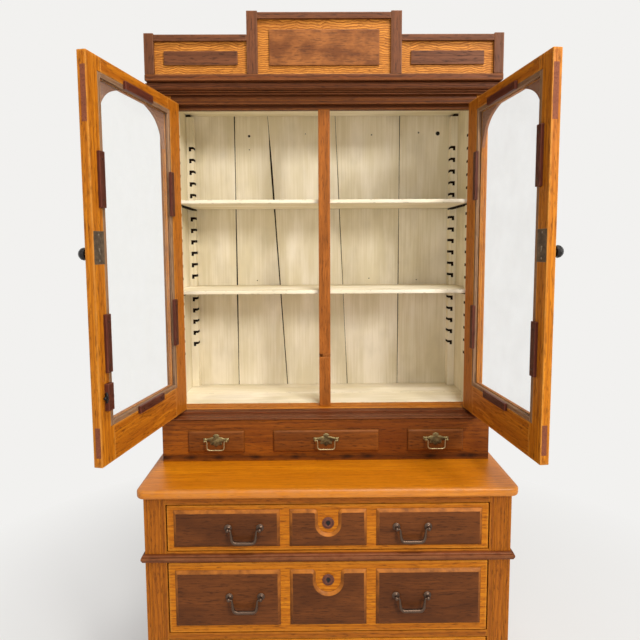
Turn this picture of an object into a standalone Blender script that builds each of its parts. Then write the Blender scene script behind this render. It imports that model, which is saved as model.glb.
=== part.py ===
"""A glazed display cabinet in oak and walnut, with a waist of small drawers, on a chest of three drawers.

Units are metres, +Z up, the front faces -Y and +X is the right-hand side seen from the front.
The origin is on the floor, under the middle of the plinth's front board.
"""

import bpy
import bmesh
from math import cos, pi, radians, sin
from mathutils import Matrix, Vector

# Clearance between pieces that touch, and how far glued members reach into each other
GAP = 0.0003
LAP = 0.006

# Chest of drawers
CHEST_WIDTH = 1.007
CHEST_DEPTH = 0.572
PLINTH_HEIGHT = 0.098
PLINTH_THICK = 0.022
PLINTH_STAND_OUT = 0.008
PLINTH_CHAMFER = 0.006
TOP_THICK = 0.025
TOP_OVERHANG = 0.0175
TOP_CORNER_RADIUS = 0.025
TOP_EDGE_ROUND = 0.007
STILE_WIDTH = 0.0595
STILE_THICK = 0.026
STILE_GROOVE_INSETS = (0.014, 0.0455)
STILE_GROOVE_WIDTH = 0.0016
STILE_GROOVE_DEPTH = 0.0014
STILE_GROOVE_END = 0.030
SIDE_THICK = 0.018
SIDE_FRAME_WIDTH = 0.07
SIDE_PANEL_THICK = 0.008
BACK_THICK = 0.012
RAIL_DEPTH = 0.06
TOP_RAIL = 0.022
DRAWER_HEIGHTS = (0.134, 0.208, 0.208)
RAILS_UNDER_DRAWERS = (0.030, 0.019, 0.026)
BEAD_HEIGHT = 0.024
BEAD_STAND_OUT = 0.0095
BEAD_DROP_SHARE = 0.1
RUNNER_WIDTH = 0.080
GUIDE_HEIGHT = 0.020

# Large drawers
DRAWER_SIDE_GAP = 0.0015
DRAWER_END_GAP = 0.0012
DRAWER_FRONT_THICK = 0.022
DRAWER_BOX_THICK = 0.012
DRAWER_BOTTOM_THICK = 0.006
DRAWER_BACK_ROOM = 0.038
DRAWER_BOX_TOP_GAP = 0.008
PANEL_END_MARGIN = 0.0215
PANEL_INNER_X = 0.1320
PANEL_MIDDLE_HALF = 0.1060
PANEL_MARGINS = (0.013, 0.022, 0.022)
PANEL_POCKET_DEPTH = 0.008
PANEL_RAISE = 0.008
PANEL_CHAMFER = 0.008
PANEL_BOARD_THICK = 0.009
PANEL_BOARD_BORDER = 0.008
STRAP_THICK = 0.002
STRAP_SHARE = 1.6
DIP_RADII = (0.038, 0.043, 0.043)
DIP_CENTRES_BELOW_EDGE = (0.053, 0.053, 0.053)
DIP_FLARE = 0.012
ESCUTCHEON_RADIUS = 0.0165
ESCUTCHEON_THICK = 0.003
ESCUTCHEON_FACE_SHARE = 0.88
KEYHOLE_RADIUS = 0.0028
KEYHOLE_DROP = 0.0075
KEYHOLE_SLOT_SHARE = 0.45
LARGE_PULL_X = 0.2295
LARGE_PULLS_BELOW_EDGE = (0.061, 0.095, 0.095)

# Pulls: post spacing, distance of the hinge line from the face, wire radius and drop
LARGE_PULL_SPACING = 0.087
LARGE_PULL_REACH = 0.014
LARGE_WIRE_RADIUS = 0.003
LARGE_PULL_DROP = 0.040
LARGE_ROSETTE_RADIUS = 0.0105
SMALL_PULL_SPACING = 0.065
SMALL_PULL_REACH = 0.012
SMALL_WIRE_RADIUS = 0.002
SMALL_PULL_DROP = 0.030
SMALL_ROSETTE_RADIUS = 0.006
ROSETTE_THICK = 0.003
ROSETTE_FACE_SHARE = 0.75
BORE_CLEARANCE = 0.0006
# Shares of the wire's radius: half the eye's length, its wall, the neck's radius, the bend's radius
EYE_SHARES = (1.0, 0.8, 1.1)
BEND_SHARE = 1.3

# Waist with its three small drawers
WAIST_FRONT_Y = 0.184
WAIST_INSET = 0.0051
WAIST_HEIGHT = 0.128
WAIST_BOARD = 0.020
WAIST_SIDE_THICK = 0.018
WAIST_TOP_THICK = 0.012
WAIST_DECK_THICK = 0.012
SIDE_DRAWER_WIDTH = 0.170
SIDE_DRAWER_MARGIN = 0.0799
DRAWERS_APART = 0.088
SMALL_DRAWER_HEIGHT = 0.067
SMALL_DRAWER_BASE = 0.030
SMALL_DRAWER_LIP = 0.006
SMALL_DRAWER_LIP_THICK = 0.008
SMALL_DRAWER_ROUND_SHARE = 0.5
SMALL_DRAWER_BACK_ROOM = 0.088
SMALL_BOX_THICK = 0.009
SMALL_BOTTOM_THICK = 0.004
PLATE_THICK = 0.002
PLATE_BELOW_TOP = 0.027
PLATE_HALF_HEIGHT = 0.022
# The winged plate's right half, from drop to hump: shares of the wing's reach and of half the height
PLATE_SHARES = ((0.0, -0.95), (0.18, -0.73), (0.34, -0.77), (0.42, -0.41), (0.60, -0.27), (1.0, -0.27),
                (1.0, 0.27), (0.675, 0.32), (0.47, 0.55), (0.36, 0.45), (0.21, 0.86), (0.0, 1.0))
WAIST_MOULD_LIP = 0.006
# The waist moulding's line: shares of the lip in front, then of the way back to the case, and of the rise
WAIST_LIP_SHARES = ((1.0, 0.0), (1.0, 0.36), (0.33, 0.42))
WAIST_STEP_SHARES = ((0.66, 0.52), (0.66, 0.80), (0.97, 0.94), (1.0, 0.86))
DIVIDER_THICK = 0.016

# Upper case
CASE_FRONT_Y = 0.256
CASE_FRAME_THICK = 0.022
FLOOR_TOP = 0.1423
FLOOR_FRONT_Y = 0.314
DECK_THICK = 0.020
CEILING_DROP = 0.0203
CASE_SIDE_THICK = 0.0175
POST_WIDTH = 0.036
POST_BEHIND_DOOR = 0.001
STOP_DROP = 0.0095
TOP_BOARD_Z = 1.138
TOP_BOARD_THICK = 0.018
TOP_BOARD_FRONT_Y = 0.2086
TOP_BOARD_REACH = 0.0271
PLANK_GAP = 0.0012
PLANK_SEAMS = ((-0.314, -0.314), (-0.132, -0.196), (0.091, 0.046), (0.277, 0.279))
PLANK_GROOVE_DEPTH = 0.004
OPEN_SEAM_SHARES = (0.7932, 0.8953)
OPEN_SEAM_WIDTH = 0.007
RAIL_ABOVE_DOORS = 0.0567
CORNICE_HEIGHT = 0.031
CORNICE_OUT = 0.030
# The cornice's face from its foot to its fascia: shares of how far it stands out, and of its height
CORNICE_SHARES = ((0.43, 0.0), (0.43, 0.13), (0.60, 0.20), (0.60, 0.29),
                  (0.80, 0.35), (0.80, 0.40), (0.95, 0.43))

# Shelves, their notched strips and cleats
STRIP_WIDTH = 0.025
STRIP_DEPTH = 0.033
STRIP_DROP = 0.0087
NOTCH_PITCH = 0.041
NOTCH_END_ROOM = 0.100
NOTCH_LOWEST = 0.2925
NOTCH_SIZE = 0.0105
CLEAT_SIZE = 0.0095
SHELF_NOTCH_SHARES = (0.71, 0.29)
SHELF_THICK = 0.0115
SHELF_FRONT_Y = 0.2995
SHELF_NOTCH_CLEARANCE = 0.001

# Doors
HINGE_INSET = 0.0369
HINGE_FORWARD = 0.0045
HINGE_EDGE_GAP = 0.0016
DOORS_MEET_GAP = 0.0012
DOOR_BASE = 0.1444
DOOR_THICK = 0.022
DOOR_HINGE_STILE = 0.072
DOOR_FREE_STILE = 0.054
DOOR_TOP_RAIL = 0.045
DOOR_BOTTOM_RAIL = 0.098
RABBET_WIDTH = 0.012
RABBET_DEPTH = 0.0122
GLASS_THICK = 0.003
STRIP_FACE = 0.015
STRIP_THICK = 0.008
SPANDREL_SIZE = 0.100
SPANDREL_THICK = 0.0085
SPANDREL_BULGE = 0.017
OPEN_LEFT = radians(101.4)
OPEN_RIGHT = radians(96.2)
LEAF_THICK = 0.001
LEAF_DEPTH = 0.021
HINGE_HEIGHT = 0.076
BARREL_RADIUS = 0.0038
HINGE_RISE = 0.130
HINGE_DROP = 0.1369
LOCK_WIDTH = 0.036
LOCK_HEIGHT = 0.076
LOCK_THICK = 0.0025
LOCK_LEVEL = 0.508
KEYHOLE_BELOW_MIDDLE = 0.003
KNOB_BELOW_MIDDLE = 0.014
SPINDLE_RADIUS = 0.003
KNOB_RADIUS = 0.014
KNOB_LENGTH = 0.026
KNOB_INSET = 0.033
# The knob from its collar to its tip: shares of its radius and of its length
KNOB_SHARES = ((0.0, 0.0), (0.55, 0.0), (0.45, 0.35), (0.85, 0.50), (1.0, 0.70), (0.75, 0.93), (0.0, 1.0))
LATCH_WIDTH = 0.021
LATCH_HEIGHT = 0.064
LATCH_THICK = 0.012
LATCH_LEVEL = 0.162
LATCH_INSET = 0.0175
LATCH_BOLT_RADIUS = 0.004
LATCH_NOSE = 0.010
LATCH_BOLT_LENGTH = 0.024

# Crest
CREST_FRAME_THICK = 0.010
CREST_BOARD_THICK = 0.012
CREST_END_INSET = 0.001
CREST_END_WIDTH = 0.028
CREST_TALL_INNER = 0.1945
CREST_TALL_WIDTH = 0.0315
CREST_SIDE_TOP = 0.111
CREST_TALL_TOP = 0.173
CREST_RAIL = 0.0175
CREST_POST_RISE = 0.004
TABLET_THICK = 0.006
TABLET_MARGINS = (0.0335, 0.0275, 0.028)
SIDE_TABLET = (0.027, 0.066)
CENTRE_TABLET = (0.025, 0.126)

# Levels and planes worked out from the sizes above
LARGE_STACK = sum(DRAWER_HEIGHTS) + sum(RAILS_UNDER_DRAWERS)
CHEST_TOP_Z = PLINTH_HEIGHT + LARGE_STACK + TOP_RAIL + TOP_THICK
CHEST_HALF = CHEST_WIDTH / 2
OPENING_HALF = CHEST_HALF - STILE_WIDTH
DRAWER_BOX_DEPTH = CHEST_DEPTH - DRAWER_FRONT_THICK - DRAWER_BOX_THICK - DRAWER_BACK_ROOM
BACK_INNER_Y = CHEST_DEPTH - BACK_THICK
WAIST_HALF_WIDTH = CHEST_HALF - WAIST_INSET
SIDE_DRAWER_X = WAIST_HALF_WIDTH - SIDE_DRAWER_MARGIN - SIDE_DRAWER_WIDTH / 2
SMALL_DRAWER_X = (-SIDE_DRAWER_X, 0.0, SIDE_DRAWER_X)
CENTRE_DRAWER_WIDTH = 2 * (SIDE_DRAWER_X - SIDE_DRAWER_WIDTH / 2 - DRAWERS_APART)
SMALL_DRAWER_WIDTHS = (SIDE_DRAWER_WIDTH, CENTRE_DRAWER_WIDTH, SIDE_DRAWER_WIDTH)
SMALL_DRAWER_DEPTH = CHEST_DEPTH - WAIST_FRONT_Y - SMALL_DRAWER_BACK_ROOM
TOP_BOARD_HALF = WAIST_HALF_WIDTH + TOP_BOARD_REACH
CREST_END_HALF = TOP_BOARD_HALF - CREST_END_INSET
HINGE_X = WAIST_HALF_WIDTH - HINGE_INSET
KEYHOLE_LEVEL = LOCK_LEVEL - KEYHOLE_BELOW_MIDDLE
KNOB_LEVEL = LOCK_LEVEL - KNOB_BELOW_MIDDLE
WAIST_TOP_Z = CHEST_TOP_Z + WAIST_HEIGHT
CEILING_Z = TOP_BOARD_Z - CEILING_DROP
STRIP_TOP = CEILING_Z - STRIP_DROP
DOOR_TOP = TOP_BOARD_Z - RAIL_ABOVE_DOORS
NOTCH_COUNT = int((STRIP_TOP - NOTCH_END_ROOM - NOTCH_LOWEST) / NOTCH_PITCH) + 1
SHELF_NOTCHES = [round(share * (NOTCH_COUNT - 1)) for share in SHELF_NOTCH_SHARES]
HINGE_LEVELS = (HINGE_RISE, DOOR_TOP - DOOR_BASE - HINGE_DROP)
WALL_X = WAIST_HALF_WIDTH - CASE_SIDE_THICK
POST_FRONT_Y = CASE_FRONT_Y + DOOR_THICK + POST_BEHIND_DOOR
DOOR_WIDTH = HINGE_X - HINGE_EDGE_GAP - DOORS_MEET_GAP
HINGE_Y = CASE_FRONT_Y - HINGE_FORWARD

CIRCLE_STEPS = 12
POINT_WEIGHT = 1.0


def clear_scene():
    """Remove every object that the scene starts with."""
    for item in list(bpy.data.objects):
        bpy.data.objects.remove(item, do_unlink=True)


def material(name, red, green, blue, roughness, metallic=0.0, alpha=1.0):
    """Return a Principled BSDF material of the given linear colour."""
    made = bpy.data.materials.new(name)
    made.use_nodes = True
    shader = made.node_tree.nodes["Principled BSDF"]
    shader.inputs["Base Color"].default_value = (red, green, blue, 1.0)
    shader.inputs["Roughness"].default_value = roughness
    shader.inputs["Metallic"].default_value = metallic
    shader.inputs["Alpha"].default_value = alpha
    return made


clear_scene()
PARTS = bpy.data.collections.new("display_cabinet")
CUTTERS = bpy.data.collections.new("cutters")
bpy.context.scene.collection.children.link(PARTS)
bpy.context.scene.collection.children.link(CUTTERS)

OAK = material("golden_oak", 0.55, 0.19, 0.025, 0.35)
LIGHT_OAK = material("light_oak", 0.68, 0.33, 0.08, 0.45)
WALNUT = material("dark_walnut", 0.16, 0.055, 0.025, 0.4)
RED_BROWN = material("red_brown_stain", 0.28, 0.065, 0.012, 0.35)
CREAM = material("cream_paint", 0.80, 0.71, 0.54, 0.6)
BRASS = material("aged_brass", 0.42, 0.27, 0.10, 0.45, 0.9)
IRON = material("dark_bronze", 0.06, 0.045, 0.035, 0.45, 0.8)
BLACK = material("black_knob", 0.01, 0.009, 0.008, 0.25)
GLASS = material("clear_glass", 0.85, 0.88, 0.86, 0.05, 0.0, 0.25)


def add_mesh(name, mesh, look, parent=None, collection=PARTS):
    """Link a finished mesh as a named object with one material."""
    item = bpy.data.objects.new(name, mesh)
    if look is not None:
        mesh.materials.clear()
        mesh.materials.append(look)
    collection.objects.link(item)
    if parent is not None:
        item.parent = parent
    return item


def empty_at(name, place, turn=0.0, parent=None):
    """Add an empty on a joint's axis, turned about Z."""
    item = bpy.data.objects.new(name, None)
    PARTS.objects.link(item)
    item.location = place
    item.rotation_euler = (0.0, 0.0, turn)
    if parent is not None:
        item.parent = parent
    return item


def add_block(work, low, high):
    """Add a box between two opposite corners to a bmesh."""
    low, high = Vector(low), Vector(high)
    size, middle = high - low, (low + high) / 2
    grow = Matrix.Diagonal((abs(size.x), abs(size.y), abs(size.z), 1.0))
    bmesh.ops.create_cube(work, size=1.0, matrix=Matrix.Translation(middle) @ grow)


def mesh_of(name, work):
    """Turn a bmesh into a mesh whose faces point outwards."""
    bmesh.ops.recalc_face_normals(work, faces=work.faces[:])
    mesh = bpy.data.meshes.new(name)
    work.to_mesh(mesh)
    work.free()
    return mesh


def block_mesh(low, high):
    """The mesh of one box between two opposite corners."""
    work = bmesh.new()
    add_block(work, low, high)
    return mesh_of("block", work)


def joined_mesh(meshes):
    """Union of overlapping meshes, as one body."""
    first, rest = meshes[0], meshes[1:]
    if not rest:
        return first
    work = bmesh.new()
    for mesh in rest:
        work.from_mesh(mesh)
    others = bpy.data.meshes.new("others")
    work.to_mesh(others)
    work.free()
    return cut_mesh(first, others, "UNION", overlapping=True)


def blocks(name, corner_pairs, look, parent=None):
    """One object made of overlapping boxes, each given by two opposite corners."""
    return add_mesh(name, joined_mesh([block_mesh(*pair) for pair in corner_pairs]), look, parent)


def mirrored(corner_pairs):
    """The given boxes and their mirror images across X = 0."""
    flipped = [[(-corner[0],) + tuple(corner[1:]) for corner in pair] for pair in corner_pairs]
    return list(corner_pairs) + flipped


def sheet_mesh(name, outlines, thick):
    """A flat sheet in the XZ plane, its back at Y = thick; inner outlines are holes."""
    curve = bpy.data.curves.new(name, "CURVE")
    curve.dimensions = "2D"
    curve.fill_mode = "BOTH"
    curve.extrude = thick / 2
    for outline in outlines:
        line = curve.splines.new("POLY")
        line.points.add(len(outline) - 1)
        for point, (x, z) in zip(line.points, outline):
            point.co = (x, z, 0.0, POINT_WEIGHT)
        line.use_cyclic_u = True
    stand_in = bpy.data.objects.new(name + "_curve", curve)
    bpy.context.scene.collection.objects.link(stand_in)
    bpy.context.view_layer.update()
    scene_graph = bpy.context.evaluated_depsgraph_get()
    mesh = bpy.data.meshes.new_from_object(stand_in.evaluated_get(scene_graph))
    bpy.data.objects.remove(stand_in, do_unlink=True)
    work = bmesh.new()
    work.from_mesh(mesh)
    bmesh.ops.remove_doubles(work, verts=work.verts[:], dist=GAP / 10)
    stand_up = Matrix.Translation((0.0, thick / 2, 0.0)) @ Matrix.Rotation(pi / 2, 4, "X")
    bmesh.ops.transform(work, matrix=stand_up, verts=work.verts[:])
    bmesh.ops.recalc_face_normals(work, faces=work.faces[:])
    work.to_mesh(mesh)
    work.free()
    return mesh


def add_sheet(work, outlines, thick, place):
    """Add a sheet, moved to its place, to a bmesh."""
    mesh = sheet_mesh("sheet", outlines, thick)
    mesh.transform(Matrix.Translation(place))
    work.from_mesh(mesh)
    bpy.data.meshes.remove(mesh)


def rectangle(x_low, x_high, z_low, z_high):
    """Corner points of an upright rectangle."""
    return [(x_low, z_low), (x_high, z_low), (x_high, z_high), (x_low, z_high)]


def arc(centre, radius, start, end, steps):
    """Points along a round arc, in radians, ends included."""
    turns = [start + (end - start) * i / steps for i in range(steps + 1)]
    return [(centre[0] + radius * cos(t), centre[1] + radius * sin(t)) for t in turns]


def add_cylinder(work, start, end, radius, steps=CIRCLE_STEPS, end_radius=None):
    """Add a capped cylinder or cone between two points to a bmesh."""
    start, end = Vector(start), Vector(end)
    axis = end - start
    turn = axis.to_track_quat("Z", "Y").to_matrix().to_4x4()
    last = radius if end_radius is None else end_radius
    bmesh.ops.create_cone(
        work, cap_ends=True, segments=steps, radius1=radius, radius2=last, depth=axis.length,
        matrix=Matrix.Translation((start + end) / 2) @ turn)


def cutter(name, mesh, parent=None):
    """A hidden object that only cuts others."""
    item = add_mesh(name, mesh, None, parent, CUTTERS)
    item.hide_render = True
    item.display_type = "WIRE"
    return item


def boolean(item, other, operation="DIFFERENCE"):
    """Add an exact Boolean modifier."""
    change = item.modifiers.new(operation.lower(), "BOOLEAN")
    change.operation = operation
    change.object = other
    change.solver = "EXACT"
    return change


def cut_mesh(mesh, tool, operation="DIFFERENCE", overlapping=False):
    """Apply a Boolean between two meshes and return the resulting mesh."""
    first = add_mesh("cut_a", mesh, None)
    second = add_mesh("cut_b", tool, None)
    boolean(first, second, operation).use_self = overlapping
    bpy.context.view_layer.update()
    scene_graph = bpy.context.evaluated_depsgraph_get()
    result = bpy.data.meshes.new_from_object(first.evaluated_get(scene_graph))
    bpy.data.objects.remove(first, do_unlink=True)
    bpy.data.objects.remove(second, do_unlink=True)
    return result


def moulding_mesh(profile, path):
    """Run a profile of (out, z) points along a path of (x, y) corners, mitred at each corner."""
    work = bmesh.new()
    corners = [Vector(point) for point in path]
    legs = [(b - a).normalized() for a, b in zip(corners, corners[1:])]
    outs = [Vector((leg.y, -leg.x)) for leg in legs]
    rings = []
    for i, corner in enumerate(corners):
        before, after = outs[max(i - 1, 0)], outs[min(i, len(outs) - 1)]
        mitre = (before + after) / (1.0 + before.dot(after))
        line = [corner + mitre * out for out, _ in profile]
        verts = [work.verts.new((point.x, point.y, z)) for point, (_, z) in zip(line, profile)]
        rings.append([work.edges.new(pair) for pair in zip(verts, verts[1:] + verts[:1])])
    for first, second in zip(rings, rings[1:]):
        bmesh.ops.bridge_loops(work, edges=first + second)
    for end in (rings[0], rings[-1]):
        bmesh.ops.contextual_create(work, geom=end)
    return mesh_of("moulding", work)


def u_path(half_width, front_y, back_y):
    """A path round the left side, the front and the right side."""
    return [(-half_width, back_y), (-half_width, front_y), (half_width, front_y), (half_width, back_y)]


def turned_mesh(profile, start, steps=CIRCLE_STEPS):
    """A turned mesh whose axis runs along -Y from its start; the profile is (radius, forward) points."""
    work = bmesh.new()
    verts = [work.verts.new((radius, 0.0, forward)) for radius, forward in profile]
    lines = [work.edges.new(pair) for pair in zip(verts, verts[1:])]
    bmesh.ops.spin(work, geom=verts + lines, cent=(0, 0, 0), axis=(0, 0, 1), angle=2 * pi, steps=steps)
    bmesh.ops.remove_doubles(work, verts=work.verts[:], dist=GAP / 10)
    lie = Matrix.Translation(start) @ Matrix.Rotation(pi / 2, 4, "X")
    bmesh.ops.transform(work, matrix=lie, verts=work.verts[:])
    return mesh_of("turned", work)


def drawer_openings():
    """Base level and height of each large drawer's opening, from the top down."""
    level = CHEST_TOP_Z - TOP_THICK - TOP_RAIL
    spaces = []
    for height, rail in zip(DRAWER_HEIGHTS, RAILS_UNDER_DRAWERS):
        spaces.append((level - height, height))
        level -= height + rail
    return spaces


OPENINGS = drawer_openings()


def make_chest_top():
    """The top board, with round front corners and a rounded edge."""
    half, front = CHEST_HALF + TOP_OVERHANG, -TOP_OVERHANG
    back, radius = CHEST_DEPTH, TOP_CORNER_RADIUS
    outline = [(half, back), (-half, back)]
    outline += arc((-half + radius, front + radius), radius, pi, 1.5 * pi, 5)
    outline += arc((half - radius, front + radius), radius, 1.5 * pi, 2 * pi, 5)
    mesh = sheet_mesh("chest_top", [outline], TOP_THICK - GAP)
    mesh.transform(Matrix.Translation((0, 0, CHEST_TOP_Z)) @ Matrix.Rotation(-pi / 2, 4, "X"))
    board = add_mesh("chest_top", mesh, OAK)
    edge = board.modifiers.new("rounded_edge", "BEVEL")
    edge.width = TOP_EDGE_ROUND
    edge.segments = 2
    edge.limit_method = "ANGLE"
    edge.angle_limit = radians(60)


def make_chest_carcass():
    """Incised front stiles, framed side panels, rails, runners and back, glued into one body."""
    base, top = PLINTH_HEIGHT + GAP, CHEST_TOP_Z - TOP_THICK
    inner = CHEST_HALF - SIDE_THICK
    back, width = CHEST_DEPTH, SIDE_FRAME_WIDTH
    first_end = STILE_THICK + width
    panel_out = CHEST_HALF - (SIDE_THICK - SIDE_PANEL_THICK) / 2
    sides = [
        ((OPENING_HALF, 0, base), (CHEST_HALF, STILE_THICK, top)),
        ((inner, STILE_THICK - LAP, base), (CHEST_HALF, first_end, top)),
        ((inner, back - width, base), (CHEST_HALF, back, top)),
        ((inner, first_end - LAP, top - width), (CHEST_HALF, back - width + LAP, top)),
        ((inner, first_end - LAP, base), (CHEST_HALF, back - width + LAP, base + width)),
        ((panel_out - SIDE_PANEL_THICK, first_end - LAP, base + width - LAP),
         (panel_out, back - width + LAP, top - width + LAP)),
    ]
    half = OPENING_HALF + LAP
    shared = [
        ((-half, 0, top - TOP_RAIL), (half, RAIL_DEPTH, top)),
        ((-inner - LAP, back - BACK_THICK, base), (inner + LAP, back, top)),
    ]
    runner_front, runner_back = RAIL_DEPTH - LAP, back - BACK_THICK + LAP
    runner_inner = inner - RUNNER_WIDTH
    for (opening, _), rail in zip(OPENINGS, RAILS_UNDER_DRAWERS):
        shared.append(((-half, 0, opening - rail), (half, RAIL_DEPTH, opening)))
        sides.append(((runner_inner, runner_front, opening - rail), (inner + LAP / 2, runner_back, opening)))
        sides.append(((OPENING_HALF + GAP, runner_front, opening - rail / 2),
                      (inner + LAP / 2, runner_back, opening + GUIDE_HEIGHT)))
    carcass = blocks("chest_carcass", shared + mirrored(sides), OAK)
    grooves, half = bmesh.new(), STILE_GROOVE_WIDTH / 2
    for x in [sign * (OPENING_HALF + inset) for inset in STILE_GROOVE_INSETS for sign in (-1, 1)]:
        add_block(grooves, (x - half, -GAP, base + STILE_GROOVE_END),
                  (x + half, STILE_GROOVE_DEPTH, top - STILE_GROOVE_END / 3))
    boolean(carcass, cutter("stile_grooves", mesh_of("stile_grooves", grooves)))


def make_bead():
    """A round bead under the top drawer that wraps the front and both sides."""
    base, _ = OPENINGS[0]
    middle = base - RAILS_UNDER_DRAWERS[0] / 2 - BEAD_HEIGHT * BEAD_DROP_SHARE
    half = BEAD_HEIGHT / 2
    profile = [(GAP, middle - half)]
    profile += [(GAP + BEAD_STAND_OUT * cos(t), middle + half * sin(t))
                for t in [pi * (i / 8 - 0.5) for i in range(1, 8)]]
    profile.append((GAP, middle + half))
    add_mesh("bead_moulding", moulding_mesh(profile, u_path(CHEST_HALF, 0, CHEST_DEPTH)), WALNUT)


def make_plinth():
    """The skirting that the chest stands on, chamfered along its top."""
    outer, inner = PLINTH_STAND_OUT, PLINTH_STAND_OUT - PLINTH_THICK
    chamfer = PLINTH_CHAMFER
    profile = [(inner, 0), (outer, 0), (outer, PLINTH_HEIGHT - chamfer), (outer - chamfer, PLINTH_HEIGHT),
               (inner, PLINTH_HEIGHT)]
    back = CHEST_DEPTH - PLINTH_THICK - GAP
    half = CHEST_HALF - PLINTH_CHAMFER
    skirt = moulding_mesh(profile, u_path(CHEST_HALF, 0, CHEST_DEPTH))
    rear = block_mesh((-half, back, 0), (half, CHEST_DEPTH, PLINTH_HEIGHT))
    add_mesh("plinth", joined_mesh([skirt, rear]), OAK)


def middle_panel(dip_radius, dip_drop, z_low, z_high, inset=0.0):
    """Outline of the middle panel, whose top edge dips in a U under the escutcheon."""
    half = PANEL_MIDDLE_HALF - inset
    low, high = z_low + inset, z_high - inset
    radius = dip_radius + inset
    centre = z_high - dip_drop
    flare = DIP_FLARE - inset
    outline = [(-half, low), (half, low), (half, high)]
    outline += arc((radius + flare, high - flare), flare, pi / 2, pi, 3)
    outline += arc((0, centre), radius, 0, -pi, 10)
    outline += arc((-radius - flare, high - flare), flare, 0, pi / 2, 3)
    outline.append((-half, high))
    return outline


def panel_outlines(index, front_low, front_high, inset=0.0):
    """The three raised panels' outlines on one large drawer front, from left to right."""
    margin = PANEL_MARGINS[index]
    low, high = front_low + margin, front_high - margin
    outer = OPENING_HALF - PANEL_END_MARGIN
    right = rectangle(PANEL_INNER_X + inset, outer - inset, low + inset, high - inset)
    left = [(-x, z) for x, z in reversed(right)]
    middle = middle_panel(DIP_RADII[index], DIP_CENTRES_BELOW_EDGE[index] - margin, low, high, inset)
    return [left, middle, right]


def box_mesh(half, front_y, back_y, base, top, thick, bottom_thick):
    """An open-topped drawer box: sides, back and bottom as one body, open at the front."""
    solid = block_mesh((-half, front_y, base), (half, back_y, top))
    hollow = block_mesh((-half + thick, front_y - thick, base + bottom_thick),
                        (half - thick, back_y - thick, top + thick))
    return cut_mesh(solid, hollow)


def post_mesh(reach, wire_radius, rosette_radius):
    """One pull post on the face at Y = 0: rosette, neck and a bored head on the hinge line."""
    length_share, wall_share, neck_share = EYE_SHARES
    head = wire_radius + BORE_CLEARANCE + wire_radius * wall_share
    half = wire_radius * length_share
    rosette = bmesh.new()
    add_cylinder(rosette, (0, 0, 0), (0, -ROSETTE_THICK, 0), rosette_radius, 10,
                 rosette_radius * ROSETTE_FACE_SHARE)
    neck = bmesh.new()
    add_cylinder(neck, (0, -ROSETTE_THICK / 2, 0), (0, -reach + head / 2, 0), wire_radius * neck_share, 8)
    cap = bmesh.new()
    add_cylinder(cap, (-half, -reach, 0), (half, -reach, 0), head)
    bore = bmesh.new()
    add_cylinder(bore, (-2 * half, -reach, 0), (2 * half, -reach, 0), wire_radius + BORE_CLEARANCE)
    mesh = joined_mesh([mesh_of("rosette", rosette), mesh_of("neck", neck), mesh_of("head", cap)])
    return cut_mesh(mesh, mesh_of("bore", bore))


def make_bail(name, joint_place, parent, spacing, drop, wire_radius):
    """A hanging wire handle whose ends pivot in the two posts."""
    pivot = empty_at(name + "_axis", joint_place, 0.0, parent)
    reach = spacing / 2 + wire_radius
    bend = wire_radius * BEND_SHARE
    arm = spacing / 2 - wire_radius * EYE_SHARES[0] - GAP - bend
    half = [(reach, 0.0), (arm + bend, 0.0)]
    half += arc((arm + bend, -bend), bend, pi / 2, pi, 2)
    half += arc((arm - bend, -drop + bend), bend, 0, -pi / 2, 3)
    points = half + [(-x, z) for x, z in reversed(half)]
    curve = bpy.data.curves.new(name, "CURVE")
    curve.dimensions = "3D"
    curve.bevel_depth = wire_radius
    curve.bevel_resolution = 1
    curve.use_fill_caps = True
    line = curve.splines.new("POLY")
    line.points.add(len(points) - 1)
    for point, (x, z) in zip(line.points, points):
        point.co = (x, 0.0, z, POINT_WEIGHT)
    item = bpy.data.objects.new(name, curve)
    curve.materials.append(IRON if wire_radius == LARGE_WIRE_RADIUS else BRASS)
    PARTS.objects.link(item)
    item.parent = pivot


def escutcheon_mesh(centre_z, face_y):
    """A round key plate with a keyhole through it."""
    work = bmesh.new()
    add_cylinder(work, (0, face_y, centre_z), (0, face_y - ESCUTCHEON_THICK, centre_z), ESCUTCHEON_RADIUS, 20,
                 ESCUTCHEON_RADIUS * ESCUTCHEON_FACE_SHARE)
    hole = bmesh.new()
    behind, ahead = face_y + ESCUTCHEON_THICK, face_y - 2 * ESCUTCHEON_THICK
    add_cylinder(hole, (0, behind, centre_z), (0, ahead, centre_z), KEYHOLE_RADIUS, 8)
    half = KEYHOLE_RADIUS * KEYHOLE_SLOT_SHARE
    slot = block_mesh((-half, ahead, centre_z - KEYHOLE_DROP), (half, behind, centre_z))
    return cut_mesh(mesh_of("plate", work), joined_mesh([mesh_of("keyhole", hole), slot]))


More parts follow.
